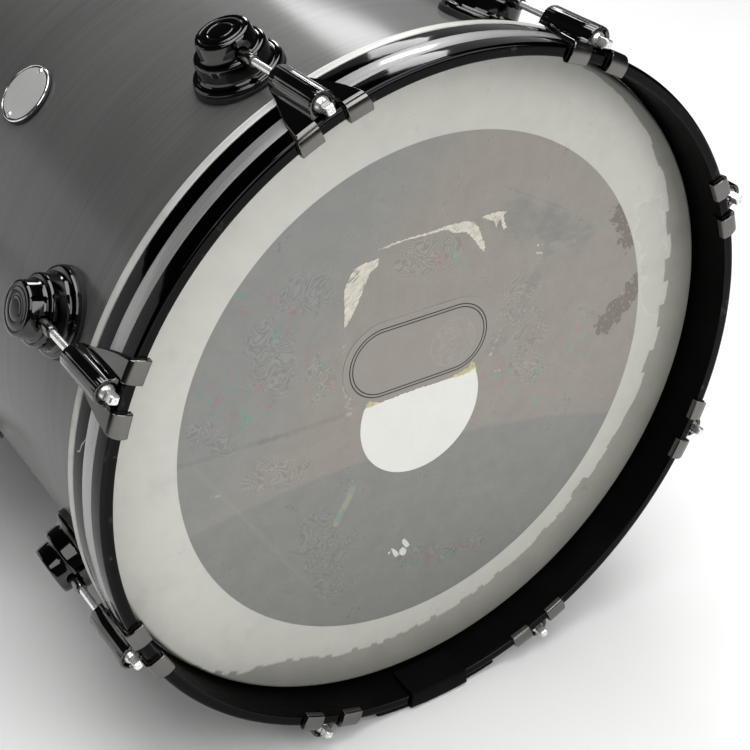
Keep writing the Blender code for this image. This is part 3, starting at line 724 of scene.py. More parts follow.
def smooth_again(me, sharp=32.0):
    bm = bmesh.new()
    bm.from_mesh(me)
    bmesh.ops.remove_doubles(bm, verts=bm.verts, dist=2e-6)
    bmesh.ops.dissolve_degenerate(bm, dist=2e-6, edges=bm.edges)
    bmesh.ops.recalc_face_normals(bm, faces=bm.faces)
    bm.to_mesh(me)
    bm.free()
    me.shade_smooth()
    me.set_sharp_from_angle(angle=math.radians(sharp))
    return me


def turned(bm, profile, seg, origin, axis, side_a, mat=0):
    """Turn a (radius, along) profile round any axis."""
    axis = Vector(axis).normalized()
    u = Vector(side_a).normalized()
    w = axis.cross(u)
    o = Vector(origin)
    rings = []
    for r, t in profile:
        if r < 1e-7:
            rings.append([o + axis * t])
        else:
            rings.append([o + axis * t + r * (math.cos(TAU * k / seg) * u + math.sin(TAU * k / seg) * w)
                          for k in range(seg)])
    return skin(bm, rings, True, False, mat)


# ------------------------------------------------------------------ shell
def shell_mesh():
    h = SHELL_L / 2
    edge = [(SHELL_R - SHELL_T, 0.0030), (SHELL_R - 0.0045, 0.0), (SHELL_R - 0.0035, 0.0),
            (SHELL_R - 0.0014, 0.0017), (SHELL_R, 0.0042)]
    lip = HALF_L - h
    pts = [(r, lip + e) for r, e in edge] + [(r, lip + SHELL_L - e) for r, e in reversed(edge)]
    prof = fillet(pts, [0.001, 0.0004, 0.0006, 0.002, 0.003, 0.003, 0.002, 0.0006, 0.0004, 0.001], 3)
    return lathe(prof, "shell", [LACQUER, PLIES], 288,
                 lambda r, d: 0 if r > SHELL_R - 0.0012 else 1, sharp=20)


put("shell_skin", shell_mesh(), frame_at(-1), "drum", "shell_lacquer", "shell")


# ------------------------------------------------------------------ hoops
def hoop_mesh(gloss, face):
    g0, g1, gd = 0.0141, 0.0277, 0.0005
    pts = [(HOOP_RI, 0.0), (HOOP_RO, 0.0), (HOOP_RO, g0), (HOOP_RO - gd, g0), (HOOP_RO - gd, g1),
           (HOOP_RO, g1), (HOOP_RO, HOOP_W), (HOOP_RI, HOOP_W)]
    prof = fillet(pts, [0.0012, 0.0026, 0.00012, 0, 0, 0.00012, 0.0010, 0.0006], 5)
    def pick(r, d):
        if (r < HOOP_RI + 0.00012 and d > 0.0009) or d > HOOP_W - 0.0003:
            return 1
        # index 2, the front face, gets the darker copy of the lacquer: painted shade
        return 2 if d < 0.00002 else 0

    return lathe(prof, "hoop", [gloss, INSIDE, face], 288, pick, sharp=25)


def inlay_mesh():
    g0, g1 = 0.01422, 0.02758
    pts = [(HOOP_RO - 0.00042, g0), (HOOP_RO + 0.00002, g0), (HOOP_RO + 0.00002, g1), (HOOP_RO - 0.00042, g1)]
    return lathe(fillet(pts, [0, 0.0001, 0.0001, 0], 2), "hoop_inlay", [INLAY], 288, sharp=25)


def flesh_mesh():
    ro = 0.2703
    pts = [(0.2607, 0.04205), (ro - 0.0004, 0.04205), (ro, 0.0428), (ro, 0.0462), (ro - 0.0003, 0.0476), (ro, 0.0488),
           (ro - 0.0014, 0.0506), (0.2650, 0.0516), (FLESH_RO - 0.0040, FLESH_D), (0.2570, FLESH_D), (0.2570, 0.0470),
           (0.2607, 0.0440)]
    return lathe(fillet(pts, 0.0006, 3), "flesh_hoop", [FLESH], 288, sharp=25)


def film_mesh(used):
    """Film as a thin closed sheet, rolled over the shell's edge into the flesh hoop."""
    seg = 240
    roll = fillet([(0.2440, FILM_D), (0.2570, FILM_D), (0.2590, 0.0344), (0.2601, 0.0384), (0.2606, 0.0424),
                   (0.2606, 0.0455)], [0, 0.005, 0.005, 0.008, 0.004, 0], 5, closed=False)
    top = [(r, FILM_D) for r in (0.0, 0.006, 0.014, 0.024, 0.036, 0.050, 0.066, 0.084, 0.104, 0.124, 0.144,
                                 0.164, 0.182, 0.198, 0.212, 0.224, 0.234)] + roll
    low = [(max(0.0, r - (0.0 if r < 0.2500 else 0.0004)), d + 0.0005) for r, d in reversed(top)]
    low[0] = (0.2601, 0.0455)
    bm = bmesh.new()
    rings = []
    for r, d in top + low:
        if r < 1e-7:
            rings.append([(0.0, d, 0.0)])
            continue
        ring = []
        for k in range(seg):
            t = TAU * k / seg
            x, z = r * math.sin(t), r * math.cos(t)
            lift = 0.0
            if used and r < 0.232:       # slack film: shallow dents
                fade = min(1.0, (0.232 - r) / 0.05)
                lift = 0.00022 * fade * noise.noise(Vector((x * 22, z * 22, 3.1)))
            ring.append((x, d + lift, z))
        rings.append(ring)
    skin(bm, rings, True, False)
    return to_mesh(bm, "head_film", [FILM_USED if used else FILM_NEW], 40)


inlay, flesh = inlay_mesh(), flesh_mesh()
for side, end in ((-1, "batter"), (1, "resonant")):
    at = frame_at(side)
    put(f"{end}_hoop_wood", hoop_mesh(*((GLOSS, FACE_SHADED) if side < 0 else (GLOSS_FRONT, FACE_FRONT_SHADED))), at, "drum", "hoop_black", f"{end}_hoop")
    put(f"{end}_hoop_inlay", inlay, at, "drum", "hoop_black")
    put(f"{end}_film", film_mesh(side < 0), at, "drum", "head_film", f"{end}_head")
    put(f"{end}_flesh_hoop", flesh, at, "drum", "head_film")


# ------------------------------------------------------------------ what is stuck on the batter head
def decal(name, outline, mat, d_front, d_back, holes=()):
    """Flat closed plate from an outline in the film's plane (x, z)."""
    bm = bmesh.new()
    edges, loops = [], []
    for loop in (outline, *holes):
        vs = [bm.verts.new((x, d_front, z)) for x, z in loop]
        loops.append(vs)
        for a, b in zip(vs, vs[1:] + vs[:1]):
            edges.append(bm.edges.new((a, b)))
    bmesh.ops.triangle_fill(bm, edges=edges, use_beauty=True, use_dissolve=False)
    top = list(bm.faces)
    twin = {}
    for vs in loops:
        for v in vs:
            twin[v] = bm.verts.new((v.co.x, d_back, v.co.z))
    for v in [v for v in bm.verts if v not in twin and v not in set(twin.values())]:
        twin[v] = bm.verts.new((v.co.x, d_back, v.co.z))
    for f in top:
        bm.faces.new([twin[v] for v in reversed(f.verts)])
    for vs in loops:
        for a, b in zip(vs, vs[1:] + vs[:1]):
            bm.faces.new((a, b, twin[b], twin[a]))
    me = to_mesh(bm, name, [mat], 30)
    return put(name, me, frame_at(-1), "drum", "head_film")


def stadium(cx, cz, half, r, n=28):
    pts = []
    for k in range(n + 1):
        t = -math.pi / 2 + math.pi * k / n
        pts.append((cx + half + r * math.cos(t), cz + r * math.sin(t)))
    for k in range(n + 1):
        t = math.pi / 2 + math.pi * k / n
        pts.append((cx - half + r * math.cos(t), cz + r * math.sin(t)))
    return pts


def ragged(pts, amp, seed, stepmm=0.9, closed=True, keep=None):
    """Outline in millimetres with torn edges, returned in metres."""
    out = []
    m = len(pts)
    for i in range(m):
        a, b = Vector(pts[i]), Vector(pts[(i + 1) % m])
        steps = max(1, int((b - a).length / stepmm))
        nrm = Vector((b.y - a.y, a.x - b.x))
        if nrm.length > 0:
            nrm.normalize()
        for k in range(steps):
            p = a.lerp(b, k / steps)
            q = Vector((p.x * 0.55, p.y * 0.55, seed))
            w = noise.noise(q) + 0.6 * noise.noise(q * 2.7) + 0.35 * noise.noise(q * 6.1)
            if keep is not None and keep(p):
                w *= 0.06
            p = p + nrm * (w * amp)
            out.append((p.x / 1000, p.y / 1000))
    return out


OVAL = (-0.0082, 0.0404)
decal("patch_clear", stadium(*OVAL, 0.0314, 0.0330), CLEAR, FILM_D - 0.00028, FILM_D + 0.0001)
for k, (ro, ri) in enumerate(((0.0279, 0.0270), (0.0255, 0.0246))):
    decal(f"patch_outline_{k + 1}", stadium(*OVAL, 0.0314, ro), INK, FILM_D - 0.00034, FILM_D - 0.00026,
          [stadium(*OVAL, 0.0314, ri)])

WC, WR = Vector((-5.5, -11.5)), 52.0
ends = [math.asin(20.0 / WR), math.pi - math.asin(18.6 / WR)]
arc = [(WC.x + WR * math.cos(t), WC.y + WR * math.sin(t)) for t in
       [ends[1] + (TAU - (ends[1] - ends[0])) * k / 90 for k in range(91)]]
top_edge = [(38.0, 6.6), (29.0, 6.2), (20.0, 7.3), (9.0, 7.4), (-3.0, 8.0), (-16.0, 8.3), (-29.0, 7.6), (-40.0, 7.7), (-48.0, 6.7)]
decal("patch_white", ragged(arc + top_edge, 0.75, 4.2, 0.9, True, lambda p: p.y < 4.0), WHITE,
      FILM_D - 0.00036, FILM_D + 0.0001)
for k, pts in enumerate(([(-53.6, 5.6), (-47.0, 6.4), (-41.0, 7.6), (-44.0, 9.2), (-47.5, 9.8), (-50.0, 12.0), (-53.0, 10.4)],
                         [(19.0, 7.0), (28.0, 6.2), (36.0, 6.2), (43.2, 4.0), (44.0, 8.0), (42.0, 13.0), (39.0, 15.2), (36.5, 11.0), (30.0, 9.6), (24.0, 8.6)])):
    decal(f"patch_torn_{k + 1}", ragged(pts, 0.9, 9.0 + k, 0.7), TORN, FILM_D - 0.00030, FILM_D + 0.0001)

TAPES = [
    [(-71.9, 78.4), (-72.1, 106.5), (-70.3, 112.4), (-64.3, 122.0), (-55.7, 123.7), (-44.7, 124.2), (-45.5, 119.0),
     (-51.7, 115.2), (-55.4, 107.1), (-61.0, 94.8), (-66.6, 84.4)],
    [(-46.3, 131.0), (-41.5, 131.6), (-31.8, 132.6), (-18.1, 133.0), (-6.2, 132.6), (9.9, 133.7), (26.2, 133.0),
     (33.6, 130.6), (38.3, 123.6), (45.2, 107.5), (44.4, 104.4), (40.4, 107.9), (34.6, 116.1), (27.8, 124.1),
     (16.4, 126.6), (10.5, 131.0), (-6.0, 131.2), (-18.0, 131.7), (-31.0, 131.4), (-42.0, 130.0)],
    [(39.7, 132.7), (53.3, 133.2), (62.0, 131.0), (58.9, 128.7), (62.5, 118.0), (59.9, 117.8), (56.5, 125.8),
     (53.2, 121.0), (51.2, 126.6), (45.1, 129.7)]]
for k, pts in enumerate(TAPES):
    decal(f"tape_rest_{k + 1}", ragged(pts, 0.8, 21.0 + 3 * k, 0.7), TAPE, FILM_D - 0.00022, FILM_D + 0.0001)
FLECKS = [
    [(-27.6, -131.5), (-25.0, -132.6), (-21.2, -137.4), (-20.2, -140.6), (-23.4, -141.6), (-25.6, -137.4)],
    [(-17.6, -127.4), (-15.0, -127.0), (-11.4, -132.4), (-10.4, -135.4), (-13.4, -136.6), (-17.0, -131.2)],
    [(-19.4, -136.2), (-16.6, -134.6), (-13.2, -138.4), (-13.6, -142.4), (-16.6, -143.0), (-19.8, -140.0)],
    [(-30.2, -134.2), (-28.4, -133.6), (-28.0, -135.4), (-29.6, -136.2)]]
for k, pts in enumerate(FLECKS):
    decal(f"tape_fleck_{k + 1}", ragged(pts, 0.28, 40.0 + k, 0.6), FLECK, FILM_D - 0.00022, FILM_D + 0.0001)


# ------------------------------------------------------------------ lugs
def lug_profile():
    mm = [(30.9, 1.9), (31.1, 2.6), (31.0, 4.7), (30.1, 6.0), (28.4, 6.5), (27.6, 6.3), (26.6, 6.6), (25.6, 7.7),
          (25.2, 9.4), (24.9, 18.2), (24.3, 19.8), (22.9, 20.4), (21.6, 20.2), (20.6, 20.5), (20.2, 21.6),
          (19.9, 23.0), (18.9, 30.8), (18.2, 32.2), (16.7, 32.75), (15.6, 32.7), (15.2, 32.35), (14.4, 32.35),
          (13.9, 32.75), (12.6, 33.0), (9.6, 33.15), (9.1, 32.8), (8.3, 32.8), (7.8, 33.2), (6.2, 33.35), (2.5, 33.4)]
    rad = [0.3, 0.5, 1.0, 1.0, 0.6, 0.4, 0.6, 1.0, 1.0, 1.4, 1.2, 0.8, 0.5, 0.5, 0.6, 1.0, 1.2, 1.2, 0.8, 0.2,
           0.15, 0.15, 0.25, 0.5, 0.2, 0.15, 0.15, 0.25, 0.5, 0]
    prof = fillet([(r / 1000, z / 1000) for r, z in mm], [r / 1000 for r in rad], 2, closed=False)
    return prof + [(0.0, 0.0334)]


def lug_mesh():
    seg = 72
    bm = bmesh.new()
    prof = [(0.0, 0.0019)] + lug_profile()
    turned(bm, prof, seg, (0, LUG_D, LUG_BASE_R), (0, 0, 1), (1, 0, 0))
    body = to_mesh(bm, "lug_body", [TURRET_SHADED], 28)
    # the mouth in the turret's side that the swivel nut stands in
    nz = ROD_RAD
    bm = bmesh.new()
    mouth = fillet([(0.0, -0.0125), (0.0052, -0.0125), (0.0052, -0.0300)], [0, 0.0006, 0], 3, closed=False)
    vs = turned(bm, mouth, 28, (0, LUG_D, nz), (0, 1, 0), (1, 0, 0))
    cap(bm, vs[-1])
    cutter = to_mesh(bm, "lug_mouth", [LINER], 28)
    body = boolean(body, cutter, 'DIFFERENCE')
    body.name = "lug"
    if len(body.materials) < 2:
        body.materials.append(LINER)
    bm = bmesh.new()
    bm.from_mesh(body)
    # swivel nut: turned nose with a rounded end and a bored face
    nose = fillet([(0.0, -0.0126), (0.0043, -0.0126), (0.0043, -0.0322), (0.0039, -0.0345), (0.0031, -0.0345),
                   (0.0031, -0.0330), (0.0, -0.0330)], [0, 0, 0.001, 0.0006, 0.0003, 0, 0], 3, closed=False)
    first = len(bm.faces)
    turned(bm, nose, 28, (0, LUG_D, nz), (0, 1, 0), (1, 0, 0), 2)
    # gasket: follows the shell under the foot
    ro, ri = 0.0316, 0.0240
    low, high = [], []
    for r in (ri, ro):
        low.append([])
        high.append([])
        for k in range(seg):
            x, y = r * math.cos(TAU * k / seg), r * math.sin(TAU * k / seg)
            low[-1].append((x, LUG_D + y, math.sqrt((SHELL_R + 0.0002) ** 2 - x * x)))
            high[-1].append((x, LUG_D + y, LUG_BASE_R + 0.0021))
    edge = []
    for k in range(seg):
        x, y = (ro - 0.0004) * math.cos(TAU * k / seg), (ro - 0.0004) * math.sin(TAU * k / seg)
        edge.append((x, LUG_D + y, LUG_BASE_R + 0.0024))
    skin(bm, [low[0], low[1], high[1], edge, high[0]], True, True, 3)
    me = to_mesh(bm, "lug", [], 28)
    for m in (TURRET_SHADED, LINER, STEEL, RUBBER):
        me.materials.append(m)
    return me


# ------------------------------------------------------------------ claws
def round_hoop(t, r, d):
    a = t / HOOP_RO
    return Vector((r * math.sin(a), d, r * math.cos(a)))


WING_BACK = 0.0470


def wing_edge(r, d):
    """How far the strip's outer edge stands from the middle, at a place on its profile."""
    if d >= 0 and r > 0.2700:
        k = min(1.0, d / WING_BACK)
        return 0.0104 + 0.0142 * (1.0 - k ** 1.4)
    h = min(1.0, max(0.0, (CLAW_RO - r) / 0.0115))
    return 0.0246 + 0.0031 * (1.0 - (1.0 - h) ** 2)


def inset(poly, d):
    """Move each edge of a clockwise or anticlockwise polygon inwards by d."""
    area = sum(a[0] * b[1] - b[0] * a[1] for a, b in zip(poly, poly[1:] + poly[:1]))
    sgn = 1 if area > 0 else -1
    out = []
    m = len(poly)
    for i in range(m):
        p0, p1, p2 = Vector(poly[i - 1]), Vector(poly[i]), Vector(poly[(i + 1) % m])
        e1, e2 = (p1 - p0).normalized(), (p2 - p1).normalized()
        n1, n2 = sgn * Vector((-e1.y, e1.x)), sgn * Vector((-e2.y, e2.x))
        b = n1 + n2
        k = d / max(0.35, b.length_squared / 2) if b.length > 1e-6 else 0.0
        out.append(tuple(p1 + b * k))
    return out


def wing_profile():
    d1 = WING_BACK - 0.0012
    top, low = [], []
    for k in range(1, 14):
        top.append((CLAW_RO, 0.0118 + (d1 - 0.0118) * k / 14))
        low.append((CLAW_RI, 0.0030 + (d1 - 0.0030) * k / 14))
    pts = [(CLAW_RO, d1)] + top[::-1] + [(CLAW_RO, -0.0022), (0.2660, -0.0040), (0.2585, -0.0027), (0.2585, 0.0026), (0.2604, 0.0026),
                                         (0.2604, -0.0005), (CLAW_RI, -0.0005)] + low + [(CLAW_RI, d1)]
    rad = [0.0012] + [0] * 13 + [0.0060, 0.0300, 0.0022, 0.0009, 0.0009, 0.0006, 0.0024] + [0] * 13 + [0.0012]
    return fillet(pts, rad, 7)


def claw_wing(sign):
    bm = bmesh.new()
    cols = []
    whole = wing_profile()
    t0 = CLAW_GAP
    spots = [(0.0, 0.00045), (0.010, 0.00016), (0.028, 0.0)] + [(k / 12, 0.0) for k in range(1, 12)]
    spots += [(0.972, 0.0), (0.990, 0.00016), (1.0, 0.00045)]
    for u, cut in spots:
        prof = inset(whole, cut) if cut else whole
        cols.append([round_hoop(sign * (t0 + u * (wing_edge(r, d) - t0)), r, d) for r, d in prof])
    vs = skin(bm, cols)
    cap(bm, list(reversed(vs[0])))
    cap(bm, vs[-1])
    bmesh.ops.triangulate(bm, faces=[f for f in bm.faces if len(f.verts) > 4], ngon_method='EAR_CLIP')
    # hook fronts get the lighter copy of the nickel: painted light
    for f in bm.faces:
        c = f.calc_center_median()
        f.material_index = 1 if c.y < -0.0008 and math.hypot(c.x, c.z) < 0.2731 else 0
    return to_mesh(bm, "claw_wing", [NICKEL, SATIN_LIT], 28)


def barrel_section(shrink=0.0):
    """Half-round with ridges along it, flared at the foot."""
    R = BARREL_R - shrink
    right = []
    n = 30
    for k in range(n + 1):
        t = math.pi / 2 * k / n             # 0 at the side, 90 degrees at the top
        deg = math.degrees(t)
        ridge = 0.0
        if 28 < deg <= 90:
            ridge = -0.00020 * (0.5 - 0.5 * math.cos(TAU * (deg - 28) / 15.5))
        right.append(((R + ridge) * math.cos(t), (R + ridge) * math.sin(t)))
    base = 0.2731 - ROD_RAD - shrink
    foot = [(0.0132, 0.27095 - ROD_RAD), (0.0132, base - 0.0004), (0.0116, base), (0.0103, base + 0.0006),
            (0.0096, base + 0.0016)]
    return foot + right, [(-x, z) for x, z in reversed(foot + right)]


def claw_barrel():
    bm = bmesh.new()
    rows = []
    for d, s in ((BARREL_D0, 0.0007), (BARREL_D0 + 0.0002, 0.00025), (BARREL_D0 + 0.0007, 0.0),
                 (0.0200, 0.0), (0.0380, 0.0), (BARREL_D1 - 0.0012, 0.0), (BARREL_D1 - 0.0004, 0.00035),
                 (BARREL_D1, 0.0011)):
        a, b = barrel_section(s)
        row = []
        for x, z in a + b[1:]:
            w = x
            if abs(x) > BARREL_R * 1.02:     # the flare follows the wing's swept edge
                keep = 1.0 if d < 0.040 else max(0.0, (BARREL_D1 - d) / 0.014)
                w = math.copysign(BARREL_R + (abs(x) - BARREL_R) * keep, x)
            row.append((w, d, ROD_RAD + z))
        rows.append(row)
    vs = skin(bm, rows)
    cap(bm, list(reversed(vs[0])))
    cap(bm, vs[-1])
    return to_mesh(bm, "claw_barrel", [NICKEL], 24)


def claw_mesh():
    bm = bmesh.new()
    hole = [(0.0, -0.0010), (0.0078, -0.0010), (0.0078, BARREL_D0 + 0.0002), (0.0068, BARREL_D0 + 0.0012),
            (0.0067, 0.0085), (0.00315, 0.0085), (0.00315, 0.0528), (0.0039, 0.0560), (0.0, 0.0560)]
    turned(bm, hole, 40, (0, 0, ROD_RAD), (0, 1, 0), (1, 0, 0))
    cutter = to_mesh(bm, "claw_hole", [NICKEL], 28)
    barrel = smooth_again(boolean(claw_barrel(), cutter, 'DIFFERENCE'), 26)
    bm = bmesh.new()
    for part in (barrel, claw_wing(1), claw_wing(-1)):
        bm.from_mesh(part)
    return to_mesh(bm, "claw", [NICKEL, SATIN_LIT], 26)


def liner_mesh(sign):
    """Rubber between a hook and the hoop, a little proud of the metal."""
    bm = bmesh.new()
    cols = []
    n = 12
    d1 = HOOP_W - 0.0004
    ro, ri, f0, f1 = 0.27064, 0.27008, -0.00046, -0.00008
    top = [(ro, d1 * k / 14) for k in range(13, 0, -1)]
    low = [(ri, d1 * k / 14) for k in range(1, 14)]
    prof = [(ro, d1)] + top + [(ro, f0), (0.2611, f0), (0.2611, f1), (ri, f1)] + low + [(ri, d1)]
    for k in range(n + 1):
        cols.append([round_hoop(sign * (CLAW_GAP - 0.0005 + k / n * (wing_edge(r, max(d, -0.0005)) + 0.0011 - CLAW_GAP)), r, d)
                     for r, d in prof])
    vs = skin(bm, cols)
    cap(bm, list(reversed(vs[0])))
    cap(bm, vs[-1])
    bmesh.ops.triangulate(bm, faces=[f for f in bm.faces if len(f.verts) > 4], ngon_method='EAR_CLIP')
    return to_mesh(bm, "claw_liner", [LINER], 30)


# ------------------------------------------------------------------ rods
THREAD = LUG_D - 0.0325      # the thread starts inside the swivel nut


def rod_mesh():
    bm = bmesh.new()
    seg = 32

    def ring(d, r, p):
        pts = []
        for k in range(seg):
            t = TAU * (k + 0.5) / seg
            c, s = math.cos(t), math.sin(t)
            q = r if p <= 2 else r * (abs(c) ** p + abs(s) ** p) ** (-1.0 / p)
            pts.append((q * c, d, ROD_RAD + q * s))
        return pts

    rows = [[(0, -0.0050, ROD_RAD)], ring(-0.0050, 0.0007, 2), ring(-0.0055, 0.0011, 2), ring(-0.0056, 0.0016, 2.6),
            ring(-0.0055, 0.0023, 4), ring(-0.0050, 0.0028, 6), ring(-0.0042, 0.00308, 8), ring(-0.0034, 0.00315, 8),
            ring(0.0022, 0.00315, 8), ring(0.0030, 0.0033, 6), ring(0.0034, 0.0037, 3), ring(0.0038, 0.0043, 2),
            ring(0.0050, 0.0051, 2), ring(0.0055, 0.0055, 2), ring(0.0059, 0.0056, 2), ring(0.0079, 0.0056, 2),
            ring(0.0082, 0.0053, 2), ring(0.0082, 0.0029, 2), ring(0.0086, ROD_R, 2), ring(THREAD - 0.0010, ROD_R, 2)]
    d, pitch = THREAD, 0.0254 / 24
    while d < ROD_END - 0.0020:
        rows += [ring(d, ROD_R, 2), ring(d + pitch * 0.10, ROD_R, 2), ring(d + pitch * 0.46, ROD_R - 0.00042, 2),
                 ring(d + pitch * 0.56, ROD_R - 0.00042, 2)]
        d += pitch
    rows += [ring(ROD_END - 0.0010, ROD_R - 0.0003, 2), ring(ROD_END, ROD_R - 0.0009, 2), [(0, ROD_END, ROD_RAD)]]
    skin(bm, rows)
    return to_mesh(bm, "rod", [CHROME], 30)


def washer_mesh():
    bm = bmesh.new()
    prof = fillet([(0.0030, 0.00826), (0.0062, 0.00826), (0.0062, 0.00846), (0.0030, 0.00846)], 0.00006, 2)
    rings = [[(r * math.cos(TAU * k / 32), d, ROD_RAD + r * math.sin(TAU * k / 32)) for k in range(32)] for r, d in prof]
    skin(bm, rings, True, True)
    return to_mesh(bm, "rod_washer", [LINER], 30)


lug, claw, rod, washer = lug_mesh(), claw_mesh(), rod_mesh(), washer_mesh()
liners = liner_mesh(1), liner_mesh(-1)
for side, end in ((-1, "batter"), (1, "resonant")):
    for k in range(8):
        at = frame_at(side, 22.5 + 45.0 * k)
        i = k + 1
        put(f"{end}_lug_turret_{i}", lug, at, "drum", "lug_black_nickel", f"{end}_lug_{i}")
        put(f"{end}_claw_hook_{i}", claw, at, f"{end}_claw_{i}", "claw_black_nickel", f"{end}_claw_{i}")
        put(f"{end}_claw_liner_{i}a", liners[0], at, f"{end}_claw_{i}", "guard_rubber")
        put(f"{end}_claw_liner_{i}b", liners[1], at, f"{end}_claw_{i}", "guard_rubber")
        put(f"{end}_tension_rod_{i}", rod, at, f"{end}_rod_{i}", "rod_chrome", f"{end}_rod_{i}")
        put(f"{end}_rod_washer_{i}", washer, at, f"{end}_claw_{i}", "guard_rubber")


# ------------------------------------------------------------------ pedal guard
def guard_mesh():
    def at(a_deg, r, d):
        a = math.radians(180.0 + a_deg)
        return (r * math.sin(a), d, r * math.cos(a))

    bm = bmesh.new()
    cols = []
    n = 48
    for k in range(-2, n + 3):
        a = -GUARD_HALF + 2 * GUARD_HALF * min(max(k, 0), n) / n
        cut = {-2: 0.00028, -1: 0.0001, n + 1: 0.0001, n + 2: 0.00028}.get(k, 0.0)
        if cut == 0.0 and k in (0, n):
            a *= 1 - 0.0009 / (GUARD_RO * math.radians(GUARD_HALF))
        ro = min(GUARD_RO, AXIS_Z / math.cos(math.radians(a)))
        if abs(a) > 4.2:                     # fine ribs across the tread outside the foot
            ro -= 0.00022 * (0.5 + 0.5 * math.cos(TAU * a / 1.5))
        prof = fillet([(HOOP_RO + GAP, 0.0010), (ro, 0.0010), (ro, 0.0400), (HOOP_RO + GAP, 0.0400)],
                      [0.0003, 0.0016, 0.0016, 0.0003], 4)
        if cut:
            prof = inset(prof, cut)
        cols.append([at(a, r, d) for r, d in prof])
    vs = skin(bm, cols)
    cap(bm, list(reversed(vs[0])))
    cap(bm, vs[-1])
    cols = []
    n = 20
    for k in range(-2, n + 3):
        a = -GUARD_LIP + 2 * GUARD_LIP * min(max(k, 0), n) / n
        cut = {-2: 0.00028, -1: 0.0001, n + 1: 0.0001, n + 2: 0.00028}.get(k, 0.0)
        if cut == 0.0 and k in (0, n):
            a *= 1 - 0.0008 / (0.2650 * math.radians(GUARD_LIP))
        pad = GUARD_PAD / math.cos(math.radians(a))
        prof = fillet([(0.2730, 0.0200), (0.2730, -0.0030), (pad, -0.0030), (pad, 0.0270), (0.2608, 0.0270),
                       (0.2608, -0.0004), (0.2706, -0.0004), (0.2706, 0.0200)],
                      [0.0004, 0.0024, 0.0020, 0.0014, 0.0006, 0.0008, 0.0008, 0.0002], 4)
        if cut:
            prof = inset(prof, cut)
        cols.append([at(a, r, d) for r, d in prof])
    vs = skin(bm, cols)
    cap(bm, list(reversed(vs[0])))
    cap(bm, vs[-1])
    return to_mesh(bm, "pedal_guard", [GUARD], 30)


put("pedal_guard_rubber", guard_mesh(), frame_at(-1), "drum", "guard_rubber", "pedal_guard")


# ------------------------------------------------------------------ badge
def badge_pieces():
    at = Matrix.Translation((0, 0, AXIS_Z)) @ Matrix.Rotation(math.radians(BADGE_A), 4, 'Y')

    def oval(t, y, z, lt=BADGE_LT, ly=BADGE_LY):
        g = lt * t / SHELL_R
        r = SHELL_R + z
        return (r * math.sin(g), ly * y, r * math.cos(g))

    def dish(steps, seg=72):
        rings = []
        for s, z in steps:
            if s == 0:
                rings.append([oval(0, 0, z)])
            else:
                rings.append([oval(s * math.cos(TAU * k / seg), s * math.sin(TAU * k / seg), z) for k in range(seg)])
        return rings

    bm = bmesh.new()
    skin(bm, dish([(0, 0.0002), (1.005, 0.0002), (1.03, 0.0005), (1.03, 0.0015), (1.01, 0.0021), (0.9, 0.0022), (0, 0.0022)]))
    put("badge_gasket", to_mesh(bm, "badge_gasket", [LINER], 30), at, "drum", "guard_rubber")
    bm = bmesh.new()
    skin(bm, dish([(0, 0.0022), (0.988, 0.0022), (1.0, 0.0025), (0.998, 0.0030), (0.985, 0.0034), (0.970, 0.0035),
                   (0.956, 0.0033), (0.949, 0.0029), (0.925, 0.0028), (0.903, 0.0029), (0.895, 0.0031), (0.88, 0.0032),
                   (0.7, 0.00335), (0.4, 0.00345), (0.15, 0.0035), (0, 0.0035)]))
    for f in bm.faces:
        c = f.calc_center_median()
        q = math.hypot(math.atan2(c.x, c.z) * SHELL_R / BADGE_LT, c.y / BADGE_LY)
        f.material_index = 2 if 0.897 < q < 0.9515 and math.hypot(c.x, c.z) > SHELL_R + 0.0026 else 1 if q > 0.9515 else 0
    put("badge_plate", to_mesh(bm, "badge_plate", [PLATE, RIM, INK], 30), at, "drum", "badge_plate", "badge")
    for k, s in enumerate((-1, 1)):
        bm = bmesh.new()
        g = s * 0.0190 / SHELL_R
        axis = Vector((math.sin(g), 0, math.cos(g)))
        pin = fillet([(0.0, 0.0028), (0.0025, 0.0028), (0.0025, 0.0037), (0.0014, 0.0046), (0.0, 0.0048)],
                     [0, 0, 0.0006, 0.0008, 0], 4, closed=False)
        turned(bm, pin, 24, axis * SHELL_R, axis, (0, 1, 0))
        put(f"badge_pin_{k + 1}", to_mesh(bm, "badge_pin", [CHROME], 30), at, "drum", "rod_chrome")


badge_pieces()


